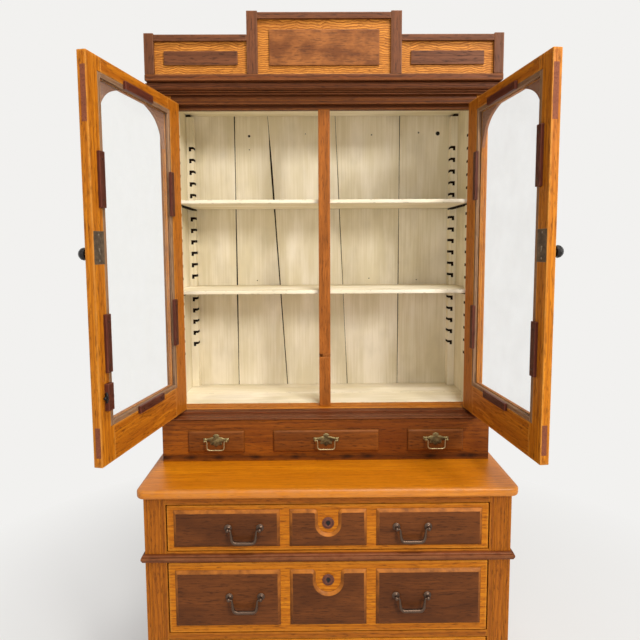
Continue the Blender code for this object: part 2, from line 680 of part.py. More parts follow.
def make_large_drawer(index):
    """One large drawer on its sliding empty: oak front and box, walnut panel board, escutcheon and bails."""
    name = "drawer_" + ("top", "middle", "bottom")[index]
    base, height = OPENINGS[index]
    low, high = base + DRAWER_END_GAP, base + height - DRAWER_END_GAP
    half = OPENING_HALF - DRAWER_SIDE_GAP
    slide = empty_at(name + "_slide", (0, 0, 0))
    front_thick = DRAWER_FRONT_THICK + DRAWER_BOX_THICK
    front = block_mesh((-half, 0, low), (half, front_thick, high))
    border = PANEL_BOARD_BORDER
    seat_back = PANEL_POCKET_DEPTH + PANEL_BOARD_THICK + STRAP_THICK + 3 * GAP
    seat = block_mesh((-half + border, PANEL_POCKET_DEPTH, low + border),
                      (half - border, seat_back, high - border))
    openings = bmesh.new()
    for outline in panel_outlines(index, low, high):
        add_sheet(openings, [outline], 2 * PANEL_POCKET_DEPTH, (0, -PANEL_POCKET_DEPTH + GAP, 0))
    openings.from_mesh(seat)
    front = cut_mesh(front, mesh_of("openings", openings), overlapping=True)
    box = box_mesh(half, front_thick - LAP, front_thick + DRAWER_BOX_DEPTH, base + GAP,
                   high - DRAWER_BOX_TOP_GAP, DRAWER_BOX_THICK, DRAWER_BOTTOM_THICK)
    add_mesh(name + "_front_and_box", joined_mesh([front, box]), OAK, slide)
    pull_z = high - LARGE_PULLS_BELOW_EDGE[index]
    make_panel_board(name, index, low, high, pull_z, slide)
    plate = escutcheon_mesh(high - DIP_CENTRES_BELOW_EDGE[index], -GAP)
    add_mesh(name + "_escutcheon", plate, BRASS, slide)
    for side, sign in (("left", -1), ("right", 1)):
        middle = sign * LARGE_PULL_X
        make_pull_posts(name + "_pull_posts_" + side, middle, pull_z, slide)
        place = (middle, -PANEL_RAISE - GAP - LARGE_PULL_REACH, pull_z)
        make_bail(name + "_bail_" + side, place, slide, LARGE_PULL_SPACING, LARGE_PULL_DROP,
                  LARGE_WIRE_RADIUS)


def raised_field(outer, inner, back_y):
    """A panel's field: straight up to the drawer's face, then chamfered to its raised flat."""
    work = bmesh.new()
    rings = []
    for outline, y in ((outer, back_y), (outer, 0.0), (inner, -PANEL_RAISE)):
        verts = [work.verts.new((x, y, z)) for x, z in outline]
        rings.append([work.edges.new(pair) for pair in zip(verts, verts[1:] + verts[:1])])
    for first, second in zip(rings, rings[1:]):
        bmesh.ops.bridge_loops(work, edges=first + second)
    for end in (rings[0], rings[-1]):
        bmesh.ops.contextual_create(work, geom=end)
    return mesh_of("field", work)


def make_panel_board(name, index, low, high, pull_z, slide):
    """The walnut board behind the openings, with a raised and chamfered field through each."""
    half = OPENING_HALF - DRAWER_SIDE_GAP
    border = PANEL_BOARD_BORDER + GAP
    face = PANEL_POCKET_DEPTH + GAP
    back = face + PANEL_BOARD_THICK
    pieces = [block_mesh((-half + border, face, low + border), (half - border, back, high - border))]
    outer = panel_outlines(index, low, high, GAP)
    inner = panel_outlines(index, low, high, PANEL_CHAMFER)
    for outline, flat in zip(outer, inner):
        pieces.append(raised_field(outline, flat, face + PANEL_BOARD_THICK / 2))
    holes = bmesh.new()
    spread = LARGE_PULL_SPACING / 2
    for x in [sign * LARGE_PULL_X + shift for sign in (-1, 1) for shift in (-spread, spread)]:
        add_cylinder(holes, (x, -2 * PANEL_RAISE, pull_z), (x, 2 * back, pull_z),
                     LARGE_WIRE_RADIUS + BORE_CLEARANCE, 8)
    add_mesh(name + "_panel_board", cut_mesh(joined_mesh(pieces), mesh_of("holes", holes)), WALNUT, slide)


def make_pull_posts(name, middle, pull_z, slide):
    """Two eye posts on a raised field, screwed through the board to a strap behind it."""
    face, spread = -PANEL_RAISE - GAP, LARGE_PULL_SPACING / 2
    back = PANEL_POCKET_DEPTH + PANEL_BOARD_THICK + 2 * GAP
    radius = LARGE_WIRE_RADIUS
    half = radius * STRAP_SHARE
    strap = block_mesh((middle - spread - half, back, pull_z - half),
                       (middle + spread + half, back + STRAP_THICK, pull_z + half))
    pieces = [strap]
    post = post_mesh(LARGE_PULL_REACH, radius, LARGE_ROSETTE_RADIUS)
    for x in (middle - spread, middle + spread):
        copy = post.copy()
        copy.transform(Matrix.Translation((x, face, pull_z)))
        shank = bmesh.new()
        add_cylinder(shank, (x, face - ROSETTE_THICK / 2, pull_z), (x, back + STRAP_THICK / 2, pull_z),
                     radius, 8)
        pieces += [copy, mesh_of("shank", shank)]
    add_mesh(name, joined_mesh(pieces), IRON, slide)


def small_opening(index):
    """Half width, low and high edges of a small drawer's opening in the waist board."""
    half = SMALL_DRAWER_WIDTHS[index] / 2 - SMALL_DRAWER_LIP
    low = CHEST_TOP_Z + SMALL_DRAWER_BASE + SMALL_DRAWER_LIP
    return half, low, low + SMALL_DRAWER_HEIGHT - 2 * SMALL_DRAWER_LIP


def make_waist_front():
    """The waist's front board, pierced for three small drawers."""
    low, high = CHEST_TOP_Z + GAP, WAIST_TOP_Z
    outlines = [rectangle(-WAIST_HALF_WIDTH, WAIST_HALF_WIDTH, low, high)]
    for index, middle in enumerate(SMALL_DRAWER_X):
        half, hole_low, hole_high = small_opening(index)
        outlines.append(rectangle(middle - half, middle + half, hole_low, hole_high))
    board = bmesh.new()
    add_sheet(board, outlines, WAIST_BOARD, (0, WAIST_FRONT_Y, 0))
    add_mesh("waist_front", mesh_of("waist_front", board), RED_BROWN)


def make_waist_carcass():
    """Sides, deck, dividers, top board and back behind the waist's front board, glued into one body."""
    front = WAIST_FRONT_Y + WAIST_BOARD + GAP
    low, high = CHEST_TOP_Z + GAP, WAIST_TOP_Z
    side_inner = WAIST_HALF_WIDTH - WAIST_SIDE_THICK
    inner, back = side_inner + LAP, CHEST_DEPTH
    half_small, opening_low, _ = small_opening(0)
    half_wide, _, _ = small_opening(1)
    deck_low, top_low = opening_low - WAIST_DECK_THICK, high - WAIST_TOP_THICK
    divider_x = (half_wide + SMALL_DRAWER_X[2] - half_small) / 2
    spacer_x = SMALL_DRAWER_X[2] + half_small + GAP
    near, far = divider_x - DIVIDER_THICK / 2, divider_x + DIVIDER_THICK / 2
    lower, upper = deck_low + LAP, top_low + LAP
    sides = [
        ((side_inner, front, low), (WAIST_HALF_WIDTH, back, high)),
        ((near, front, lower), (far, back - LAP, upper)),
        ((spacer_x, front, lower), (inner, back - LAP, upper)),
    ]
    shared = [
        ((-inner, front, deck_low), (inner, back - LAP, opening_low)),
        ((-inner, front, top_low), (inner, back - LAP, high)),
        ((-inner, back - BACK_THICK, low), (inner, back, high)),
    ]
    blocks("waist_carcass", shared + mirrored(sides), OAK)


def make_waist_moulding():
    """The two-step moulding from the waist's front edge back to the upper case."""
    base = WAIST_TOP_Z + GAP
    back = CASE_FRONT_Y - GAP - WAIST_FRONT_Y
    rise = CHEST_TOP_Z + FLOOR_TOP - base
    profile = [(-back, base)]
    profile += [(WAIST_MOULD_LIP * out, base + rise * up) for out, up in WAIST_LIP_SHARES]
    profile += [(-back * out, base + rise * up) for out, up in WAIST_STEP_SHARES]
    path = [(-WAIST_HALF_WIDTH, WAIST_FRONT_Y), (WAIST_HALF_WIDTH, WAIST_FRONT_Y)]
    add_mesh("waist_moulding", moulding_mesh(profile, path), WALNUT)


def make_small_drawer(index):
    """One small lipped drawer with its plate, posts and bail."""
    name = "small_drawer_" + ("left", "centre", "right")[index]
    middle = SMALL_DRAWER_X[index]
    half, low, high = small_opening(index)
    play = DRAWER_SIDE_GAP / 2
    slide = empty_at(name + "_slide", (middle, WAIST_FRONT_Y, 0))
    lip = SMALL_DRAWER_LIP + half
    work = bmesh.new()
    add_block(work, (-lip, -SMALL_DRAWER_LIP_THICK, low - SMALL_DRAWER_LIP),
              (lip, -GAP, high + SMALL_DRAWER_LIP))
    front_edges = [edge for edge in work.edges if all(vert.co.y < -GAP * 2 for vert in edge.verts)]
    bmesh.ops.bevel(work, geom=front_edges, offset=SMALL_DRAWER_LIP_THICK * SMALL_DRAWER_ROUND_SHARE,
                    segments=2, affect="EDGES", profile=0.5)
    box = bmesh.new()
    back = SMALL_DRAWER_DEPTH
    add_block(box, (-half + play, -GAP - SMALL_DRAWER_LIP_THICK / 2, low + GAP),
              (half - play, back, high - play))
    hollow = bmesh.new()
    wall = SMALL_BOX_THICK
    add_block(hollow, (-half + play + wall, wall, low + GAP + SMALL_BOTTOM_THICK),
              (half - play - wall, back - wall, high + wall))
    mesh = cut_mesh(mesh_of("lip", work), mesh_of("box", box), "UNION")
    mesh = cut_mesh(mesh, mesh_of("hollow", hollow))
    add_mesh(name, mesh, RED_BROWN, slide)
    make_small_fittings(name, (low + high) / 2 + SMALL_DRAWER_HEIGHT / 2 - PLATE_BELOW_TOP, slide)


def plate_outline(middle_z):
    """A winged plate: a hump above, a drop below and a wing out to each post."""
    wing = SMALL_PULL_SPACING / 2 + SMALL_ROSETTE_RADIUS
    right = [(wing * out, middle_z + PLATE_HALF_HEIGHT * up) for out, up in PLATE_SHARES]
    left = [(-x, z) for x, z in reversed(right[1:-1])]
    return right + left


def make_small_fittings(name, pull_z, slide):
    """The winged brass plate with its two posts, and the bail."""
    face = -SMALL_DRAWER_LIP_THICK - GAP
    plate = sheet_mesh("plate", [plate_outline(pull_z)], PLATE_THICK)
    plate.transform(Matrix.Translation((0, face - PLATE_THICK, 0)))
    pieces = [plate]
    post = post_mesh(SMALL_PULL_REACH, SMALL_WIRE_RADIUS, SMALL_ROSETTE_RADIUS)
    post_y = face - PLATE_THICK / 2
    for shift in (-SMALL_PULL_SPACING / 2, SMALL_PULL_SPACING / 2):
        copy = post.copy()
        copy.transform(Matrix.Translation((shift, post_y, pull_z)))
        pieces.append(copy)
    add_mesh(name + "_pull_plate", joined_mesh(pieces), BRASS, slide)
    place = (0, post_y - SMALL_PULL_REACH, pull_z)
    make_bail(name + "_bail", place, slide, SMALL_PULL_SPACING, SMALL_PULL_DROP, SMALL_WIRE_RADIUS)


def above_chest(level):
    """World height of a level measured from the chest's top surface."""
    return CHEST_TOP_Z + level


def make_upper_carcass():
    """The upper case's side panels, painted floor and ceiling, glued into one body."""
    low, high = WAIST_TOP_Z + GAP, above_chest(TOP_BOARD_Z) - GAP
    front, inner = CASE_FRONT_Y + CASE_FRAME_THICK + GAP, WALL_X + LAP
    back = BACK_INNER_Y - GAP
    floor_top, ceiling = above_chest(FLOOR_TOP), above_chest(CEILING_Z)
    stop_back = POST_FRONT_Y + CASE_FRAME_THICK + GAP
    sides = [((WALL_X, front, low), (WAIST_HALF_WIDTH, CHEST_DEPTH, high))]
    decks = [
        ((-inner, FLOOR_FRONT_Y + GAP, low), (inner, back, floor_top)),
        ((-inner, stop_back, ceiling), (inner, back, ceiling + DECK_THICK)),
    ]
    blocks("upper_carcass", decks + mirrored(sides), OAK)


def make_back_boards():
    """The upper case's back: one board grooved at its planks' slanting seams, with one open gap."""
    low, high = WAIST_TOP_Z + GAP, above_chest(TOP_BOARD_Z) - GAP
    edge = WALL_X - GAP
    boards = blocks("back_boards", [((-edge, BACK_INNER_Y, low), (edge, CHEST_DEPTH, high))], CREAM)
    seams = bmesh.new()
    half = PLANK_GAP / 2
    for x_low, x_high in PLANK_SEAMS:
        outline = [(x_low - half, low - GAP), (x_low + half, low - GAP),
                   (x_high + half, high + GAP), (x_high - half, high + GAP)]
        add_sheet(seams, [outline], 2 * PLANK_GROOVE_DEPTH, (0, BACK_INNER_Y - PLANK_GROOVE_DEPTH, 0))
    boolean(boards, cutter("plank_seams", mesh_of("plank_seams", seams)))
    x_low, x_high = PLANK_SEAMS[1]
    ends = [(x_low + (x_high - x_low) * share, low + (high - low) * share) for share in OPEN_SEAM_SHARES]
    half = OPEN_SEAM_WIDTH / 2
    slot = [(x + half, z) for x, z in ends] + [(x - half, z) for x, z in reversed(ends)]
    tool = sheet_mesh("open_seam", [slot], 3 * BACK_THICK)
    tool.transform(Matrix.Translation((0, BACK_INNER_Y - BACK_THICK, 0)))
    boolean(boards, cutter("open_seam", tool))


def make_face_frame():
    """Stiles, top rail, door stop, centre post and ledge, with the case's hinge leaves, as one body."""
    floor_top = above_chest(FLOOR_TOP)
    front, back = CASE_FRONT_Y, CASE_FRONT_Y + CASE_FRAME_THICK
    stile_inner = HINGE_X + HINGE_EDGE_GAP
    top = above_chest(TOP_BOARD_Z) - GAP
    rail_low = above_chest(DOOR_TOP) + DRAWER_END_GAP
    stop_low = above_chest(DOOR_TOP) - STOP_DROP
    post_back = SHELF_FRONT_Y - SHELF_NOTCH_CLEARANCE
    stile_base = WAIST_TOP_Z + GAP
    half_post, wall = POST_WIDTH / 2, WALL_X - GAP
    ceiling_front = POST_FRONT_Y + CASE_FRAME_THICK
    members = [
        ((-stile_inner - LAP, front, rail_low), (stile_inner + LAP, POST_FRONT_Y + LAP / 2, top)),
        ((-wall, POST_FRONT_Y, stop_low), (wall, ceiling_front, top)),
        ((-half_post, POST_FRONT_Y, floor_top - LAP), (half_post, post_back, stop_low + LAP)),
        ((-wall, front, stile_base), (wall, FLOOR_FRONT_Y, floor_top)),
    ]
    stiles = mirrored([((stile_inner, front, stile_base), (WAIST_HALF_WIDTH, back, top))])
    pieces = [block_mesh(*pair) for pair in members + stiles]
    for sign in (-1, 1):
        for level in HINGE_LEVELS:
            pieces.append(case_leaf_mesh(sign, above_chest(DOOR_BASE) + level))
    mesh = joined_mesh(pieces)
    level = above_chest(DOOR_BASE + LATCH_LEVEL)
    play = BORE_CLEARANCE * 2
    reach = LATCH_BOLT_RADIUS + play
    keep = block_mesh((-half_post - play, POST_FRONT_Y - play, level - reach),
                      (-half_post + LATCH_NOSE + play, POST_FRONT_Y + LATCH_THICK + play, level + reach))
    add_mesh("face_frame", cut_mesh(mesh, keep), OAK)


def knuckle_mesh(plates, barrels):
    """Union of leaf plates and barrel lengths on a hinge line at X = Y = 0."""
    pieces = [block_mesh(*plate) for plate in plates]
    for low, high in barrels:
        work = bmesh.new()
        add_cylinder(work, (0, 0, low), (0, 0, high), BARREL_RADIUS)
        pieces.append(mesh_of("barrel", work))
    return joined_mesh(pieces)


def case_leaf_mesh(sign, base):
    """The case's leaf of one butt hinge, with its outer two knuckles, let into the stile's edge."""
    third = HINGE_HEIGHT / 3
    ends = [(0, third - GAP), (2 * third + GAP, HINGE_HEIGHT)]
    near, far = sign * GAP, sign * (HINGE_EDGE_GAP + LEAF_THICK / 2)
    plates = [((near, BARREL_RADIUS + GAP, 0), (far, LEAF_DEPTH, HINGE_HEIGHT))]
    plates += [((near, 0, low), (far, 2 * BARREL_RADIUS, high)) for low, high in ends]
    mesh = knuckle_mesh(plates, ends)
    mesh.transform(Matrix.Translation((sign * HINGE_X, HINGE_Y, base)))
    return mesh


def notch_levels():
    """Middle heights of the notches, from the lowest up."""
    return [above_chest(NOTCH_LOWEST + NOTCH_PITCH * i) for i in range(NOTCH_COUNT)]


def make_shelf_ladder(side, sign):
    """The two notched strips at one end, with the cleats that lie in them, as one body."""
    outer = WALL_X - GAP
    inner = outer - STRIP_WIDTH
    base = above_chest(FLOOR_TOP) + GAP
    half = NOTCH_SIZE / 2
    outline = [(outer, base), (outer, above_chest(STRIP_TOP)), (inner, above_chest(STRIP_TOP))]
    for level in reversed(notch_levels()):
        outline += [(inner, level + half), (inner + NOTCH_SIZE, level + half),
                    (inner + NOTCH_SIZE, level - half), (inner, level - half)]
    outline.append((inner, base))
    outline = [(sign * x, z) for x, z in outline]
    front = POST_FRONT_Y + CASE_FRAME_THICK + GAP
    back = BACK_INNER_Y - STRIP_DEPTH - GAP
    pieces = []
    for y in (front, back):
        strip = sheet_mesh("strip", [outline], STRIP_DEPTH)
        strip.transform(Matrix.Translation((0, y, 0)))
        pieces.append(strip)
    for notch in SHELF_NOTCHES:
        low = notch_levels()[notch] - half
        near, far = sign * (inner + GAP), sign * (inner + NOTCH_SIZE + GAP)
        pieces.append(block_mesh((near, front + GAP, low - GAP),
                                 (far, BACK_INNER_Y - 2 * GAP, low + CLEAT_SIZE)))
    add_mesh("shelf_ladder_" + side, joined_mesh(pieces), CREAM)


def cleat_top(notch):
    """Height of the top of a cleat that lies in the given notch."""
    return notch_levels()[notch] - NOTCH_SIZE / 2 + CLEAT_SIZE


def make_shelf(name, notch):
    """A shelf notched round the four strips, which lifts off its cleats."""
    low = cleat_top(notch) + GAP
    lift = empty_at(name + "_lift", (0, 0, low))
    half = WALL_X - DRAWER_END_GAP
    corner_pair = ((-half, SHELF_FRONT_Y, 0), (half, BACK_INNER_Y - DRAWER_END_GAP, SHELF_THICK))
    board = blocks(name, [corner_pair], CREAM, lift)
    play = SHELF_NOTCH_CLEARANCE
    inner = WALL_X - GAP - STRIP_WIDTH - play
    outer = WALL_X + play
    front_strip_back = POST_FRONT_Y + CASE_FRAME_THICK + GAP + STRIP_DEPTH + play
    back_strip_front = BACK_INNER_Y - STRIP_DEPTH - GAP - play
    corners = [
        ((inner, SHELF_FRONT_Y - play, -play), (outer, front_strip_back, SHELF_THICK + play)),
        ((inner, back_strip_front, -play), (outer, BACK_INNER_Y + play, SHELF_THICK + play)),
    ]
    tools = bmesh.new()
    for corner in mirrored(corners):
        add_block(tools, *corner)
    boolean(board, cutter(name + "_corners", mesh_of("corners", tools), lift))


def make_cornice():
    """The top board and the moulding under its overhang."""
    base, top = above_chest(TOP_BOARD_Z - CORNICE_HEIGHT), above_chest(TOP_BOARD_Z)
    profile = [(GAP, base)]
    profile += [(CORNICE_OUT * out, base + CORNICE_HEIGHT * up) for out, up in CORNICE_SHARES]
    profile += [(CORNICE_OUT, top + LAP / 3), (GAP, top + LAP / 3)]
    run = moulding_mesh(profile, u_path(WAIST_HALF_WIDTH, CASE_FRONT_Y, CHEST_DEPTH))
    board = block_mesh((-TOP_BOARD_HALF, TOP_BOARD_FRONT_Y, top),
                       (TOP_BOARD_HALF, CHEST_DEPTH, top + TOP_BOARD_THICK))
    add_mesh("cornice", joined_mesh([board, run]), WALNUT)


def crest_levels():
    """Base, side top and centre top of the crest."""
    base = above_chest(TOP_BOARD_Z + TOP_BOARD_THICK) + GAP
    return base, base + CREST_SIDE_TOP, base + CREST_TALL_TOP


def make_crest():
    """A light board behind walnut posts and rails, with a dark tablet in each bay."""
    base, side_top, tall_top = crest_levels()
    front, middle = TOP_BOARD_FRONT_Y, TOP_BOARD_FRONT_Y + CREST_FRAME_THICK
    end_inner = CREST_END_HALF - CREST_END_WIDTH
    tall_outer = CREST_TALL_INNER + CREST_TALL_WIDTH
    posts = [
        ((end_inner, front, base), (CREST_END_HALF, middle, side_top + CREST_POST_RISE)),
        ((CREST_TALL_INNER, front, base), (tall_outer, middle, tall_top + CREST_POST_RISE)),
        ((tall_outer - LAP, front, side_top - CREST_RAIL), (end_inner + LAP, middle, side_top)),
    ]
    reach = CREST_TALL_INNER + LAP
    centre_rail = ((-reach, front, tall_top - CREST_RAIL), (reach, middle, tall_top))
    blocks("crest_frame", [centre_rail] + mirrored(posts), WALNUT)
    right = [(CREST_END_HALF, base), (CREST_END_HALF, side_top),
             (tall_outer, side_top), (tall_outer, tall_top)]
    outline = right + [(-x, z) for x, z in reversed(right)]
    board = sheet_mesh("crest_board", [outline], CREST_BOARD_THICK)
    board.transform(Matrix.Translation((0, middle + GAP, 0)))
    front, back = middle - TABLET_THICK, middle + CREST_BOARD_THICK / 2
    beside, near, far = TABLET_MARGINS
    half = CREST_TALL_INNER - beside
    near, far = tall_outer + near, CREST_END_HALF - CREST_END_WIDTH - far
    low, high = (base + level for level in SIDE_TABLET)
    tablets = mirrored([((near, front, low), (far, back, high))])
    low, high = (base + level for level in CENTRE_TABLET)
    tablets.append(((-half, front, low), (half, back, high)))
    add_mesh("crest_board", joined_mesh([board] + [block_mesh(*pair) for pair in tablets]), LIGHT_OAK)


class Door:
    """Sizes and places of one door in its own frame, whose Z axis is the hinge line.

    The door reaches from the hinge line along its own X (mirrored on the right-hand door) and its
    inner face looks along +Y when it is shut.
    """

    def __init__(self, side, sign, opening):
        self.name = "door_" + side
        self.sign = sign
        place = (-sign * HINGE_X, HINGE_Y, above_chest(DOOR_BASE))
        self.pivot = empty_at(self.name + "_axis", place, -sign * opening)
        self.near = HINGE_EDGE_GAP
        self.far = self.near + DOOR_WIDTH
        self.height = DOOR_TOP - DOOR_BASE
        self.outer = HINGE_FORWARD
        self.inner = HINGE_FORWARD + DOOR_THICK

    def pair(self, low, high):
        """Turn a box from (along, depth, height) to the door's own X, Y and Z."""
        return (self.sign * low[0],) + tuple(low[1:]), (self.sign * high[0],) + tuple(high[1:])

    def block(self, low, high):
        """Mesh of a box given by (along, depth, height) corners."""
        return block_mesh(*self.pair(low, high))

    def make_frame(self, latch_block=None):
        """Stiles, rails and corner spandrels, with one rabbet cut round the inner side."""
        near, far, top = self.near, self.far, self.height
        inner_near, inner_far = near + DOOR_HINGE_STILE, far - DOOR_FREE_STILE
        rail_low, rail_high = DOOR_BOTTOM_RAIL, top - DOOR_TOP_RAIL
        pieces = [
            self.block((near, self.outer, 0), (inner_near, self.inner, top)),
            self.block((inner_far, self.outer, 0), (far, self.inner, top)),
            self.block((inner_near - LAP, self.outer, rail_high), (inner_far + LAP, self.inner, top)),
            self.block((inner_near - LAP, self.outer, 0), (inner_far + LAP, self.inner, rail_low)),
        ]
        for corner_x, turn in ((inner_near, 1), (inner_far, -1)):
            spandrel = sheet_mesh("spandrel", [self.spandrel(corner_x, turn, rail_high)], SPANDREL_THICK)
            spandrel.transform(Matrix.Translation((0, self.outer + GAP, 0)))
            pieces.append(spandrel)
        if latch_block is not None:
            pieces.append(latch_block)
        edge = RABBET_WIDTH
        frame = add_mesh(self.name + "_frame", joined_mesh(pieces), OAK, self.pivot)
        rabbet = self.block((inner_near - edge, self.inner - RABBET_DEPTH, rail_low - edge),
                            (inner_far + edge, self.inner + edge, rail_high + edge))
        boolean(frame, cutter(self.name + "_rabbet", rabbet, self.pivot))
        boolean(frame, cutter(self.name + "_lock_seat", self.lock_block(GAP), self.pivot))
        bore, knob_x = bmesh.new(), self.sign * (self.far - KNOB_INSET)
        add_cylinder(bore, (knob_x, 0, KNOB_LEVEL), (knob_x, 2 * self.inner, KNOB_LEVEL),
                     SPINDLE_RADIUS + BORE_CLEARANCE, 8)
        boolean(frame, cutter(self.name + "_spindle_bore", mesh_of("bore", bore), self.pivot))
        self.rabbet = (inner_near - edge, inner_far + edge, rail_low - edge, rail_high + edge)

    def spandrel(self, corner_x, turn, top):
        """Outline of one arched corner piece, its square corner at the top of the glass opening."""
        reach, bulge = SPANDREL_SIZE, SPANDREL_BULGE
        curve = []
        for i in range(9):
            share = i / 8
            sag = bulge * sin(pi * share)
            curve.append((corner_x + turn * (reach * (1 - share) - sag), top - reach * share + sag))
        back_x, over = corner_x - turn * LAP / 2, top + LAP / 2
        outline = [(back_x, over), (curve[0][0], over)] + curve + [(back_x, curve[-1][1])]
        return [(self.sign * x, z) for x, z in outline]

    def make_glass(self):
        """The pane, in the rabbet."""
        low_x, high_x, low_z, high_z = self.rabbet
        floor = self.inner - RABBET_DEPTH
        pane = self.pair((low_x + GAP, floor + GAP, low_z + GAP),
                         (high_x - GAP, floor + GAP + GLASS_THICK, high_z - GAP))
        blocks(self.name + "_glass", [pane], GLASS, self.pivot)

    def make_strips(self):
        """The ring of glazing strips nailed over the pane's edge."""
        low_x, high_x = self.rabbet[0] + GAP, self.rabbet[1] - GAP
        low_z, high_z = self.rabbet[2] + GAP, self.rabbet[3] - GAP
        front = self.inner - RABBET_DEPTH + 2 * GAP + GLASS_THICK
        back, face = front + STRIP_THICK, STRIP_FACE
        outer = self.block((low_x, front, low_z), (high_x, back, high_z))
        inner = self.block((low_x + face, front - face, low_z + face),
                           (high_x - face, back + face, high_z - face))
        add_mesh(self.name + "_glazing_strips", cut_mesh(outer, inner), WALNUT, self.pivot)

    def make_hinges(self):
        """The door's leaf of each butt hinge, with its middle knuckle."""
        third = HINGE_HEIGHT / 3
        low, high = third + GAP, 2 * third - GAP
        for place, level in zip(("lower", "upper"), HINGE_LEVELS):
            plates = [
                self.pair((GAP, BARREL_RADIUS + GAP, 0), (GAP + LEAF_THICK, LEAF_DEPTH, HINGE_HEIGHT)),
                self.pair((GAP, 0, low), (GAP + LEAF_THICK, 2 * BARREL_RADIUS, high)),
            ]
            mesh = knuckle_mesh(plates, [(low, high)])
            mesh.transform(Matrix.Translation((0, 0, level)))
            add_mesh(self.name + "_hinge_leaf_" + place, mesh, BRASS, self.pivot)

    def lock_block(self, play):
        """Box of the lock plate, flush with the inner face, or of its seat when it has play."""
        along, half = self.far - LOCK_WIDTH - HINGE_EDGE_GAP, LOCK_HEIGHT / 2
        return self.block((along - play, self.inner - LOCK_THICK - play, LOCK_LEVEL - half - play),
                          (along + LOCK_WIDTH + play, self.inner + 2 * play, LOCK_LEVEL + half + play))

    def make_lock_and_knob(self):
        """The lock plate on the inner face, joined to the knob on the outer face by a spindle."""
        knob_x = self.sign * (self.far - KNOB_INSET)
        plate = self.lock_block(0)
        hole = bmesh.new()
        middle, reach = self.sign * (self.far - HINGE_EDGE_GAP - LOCK_WIDTH / 2), 3 * LOCK_THICK
        add_cylinder(hole, (middle, self.inner - reach, KEYHOLE_LEVEL),
                     (middle, self.inner + reach, KEYHOLE_LEVEL), KEYHOLE_RADIUS, 8)
        profile = [(KNOB_RADIUS * wide, KNOB_LENGTH * ahead) for wide, ahead in KNOB_SHARES]
        knob = turned_mesh(profile, (knob_x, self.outer - GAP, KNOB_LEVEL))
        spindle = bmesh.new()
        add_cylinder(spindle, (knob_x, self.outer - KNOB_LENGTH / 2, KNOB_LEVEL),
                     (knob_x, self.inner - LOCK_THICK / 2, KNOB_LEVEL), SPINDLE_RADIUS, 8)
        mesh = joined_mesh([cut_mesh(plate, mesh_of("hole", hole)), knob, mesh_of("spindle", spindle)])
        add_mesh(self.name + "_lock_and_knob", mesh, BLACK, self.pivot)


def latch_block_mesh(door):
    """The left door's latch block on its inner face, bored for the bolt."""
    block_far = door.far - LATCH_INSET - DOORS_MEET_GAP
    block_near = block_far - LATCH_WIDTH
    low = LATCH_LEVEL - LATCH_HEIGHT / 2
    block = block_mesh((block_near, door.inner - LAP / 3, low),
                       (block_far, door.inner + LATCH_THICK, low + LATCH_HEIGHT))
    bore = bmesh.new()
    middle_y = door.inner + LATCH_THICK / 2
    add_cylinder(bore, (block_near - LAP, middle_y, LATCH_LEVEL), (block_far + LAP, middle_y, LATCH_LEVEL),
                 LATCH_BOLT_RADIUS + BORE_CLEARANCE)
    return cut_mesh(block, mesh_of("bore", bore))


def make_latch_bolt(door):
    """The black bolt that slides through the latch block towards the door's edge."""
    nose = door.far - LATCH_INSET - DOORS_MEET_GAP + LATCH_NOSE
    place = (nose, door.inner + LATCH_THICK / 2, LATCH_LEVEL)
    slide = empty_at(door.name + "_latch_slide", place, 0.0, door.pivot)
    bolt = bmesh.new()
    add_cylinder(bolt, (-LATCH_BOLT_LENGTH - LATCH_NOSE, 0, 0), (0, 0, 0), LATCH_BOLT_RADIUS)
    add_mesh(door.name + "_latch_bolt", mesh_of("bolt", bolt), BLACK, slide)


def make_doors():
    """Both doors, standing open; the left one carries a latch."""
    for side, sign, opening in (("left", 1, OPEN_LEFT), ("right", -1, OPEN_RIGHT)):
        door = Door(side, sign, opening)
        door.make_frame(latch_block_mesh(door) if side == "left" else None)
        door.make_glass()
        door.make_strips()
        door.make_hinges()
        door.make_lock_and_knob()
        if side == "left":
            make_latch_bolt(door)


def main():
    """Build every sub-part."""
    make_chest_top()
    make_chest_carcass()
    make_bead()
    make_plinth()
    for index in range(len(DRAWER_HEIGHTS)):
        make_large_drawer(index)
    make_waist_front()
    make_waist_carcass()
    make_waist_moulding()
    for index in range(len(SMALL_DRAWER_X)):
        make_small_drawer(index)
    make_upper_carcass()
    make_back_boards()
    make_face_frame()
    for side, sign in (("left", -1), ("right", 1)):
        make_shelf_ladder(side, sign)
    make_shelf("shelf_upper", SHELF_NOTCHES[0])
    make_shelf("shelf_lower", SHELF_NOTCHES[1])
    make_cornice()
    make_crest()
    make_doors()


main()
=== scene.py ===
"""Looks for a glazed oak and walnut display cabinet on a chest of drawers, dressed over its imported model.

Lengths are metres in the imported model's frame: the origin is on the floor under the middle of the
plinth's front, +X is to the right, +Y into the cabinet and +Z up. Every new piece is a closed surface
of whole arrays: a loop of points carried along an axis or a path, turned about an axis, or drawn as a rod.
"""
import logging
import math
from collections.abc import Callable, Sequence
from dataclasses import dataclass, field, replace
from enum import Enum
from functools import partial

import bmesh
import bpy
import numpy as np
from mathutils import Matrix


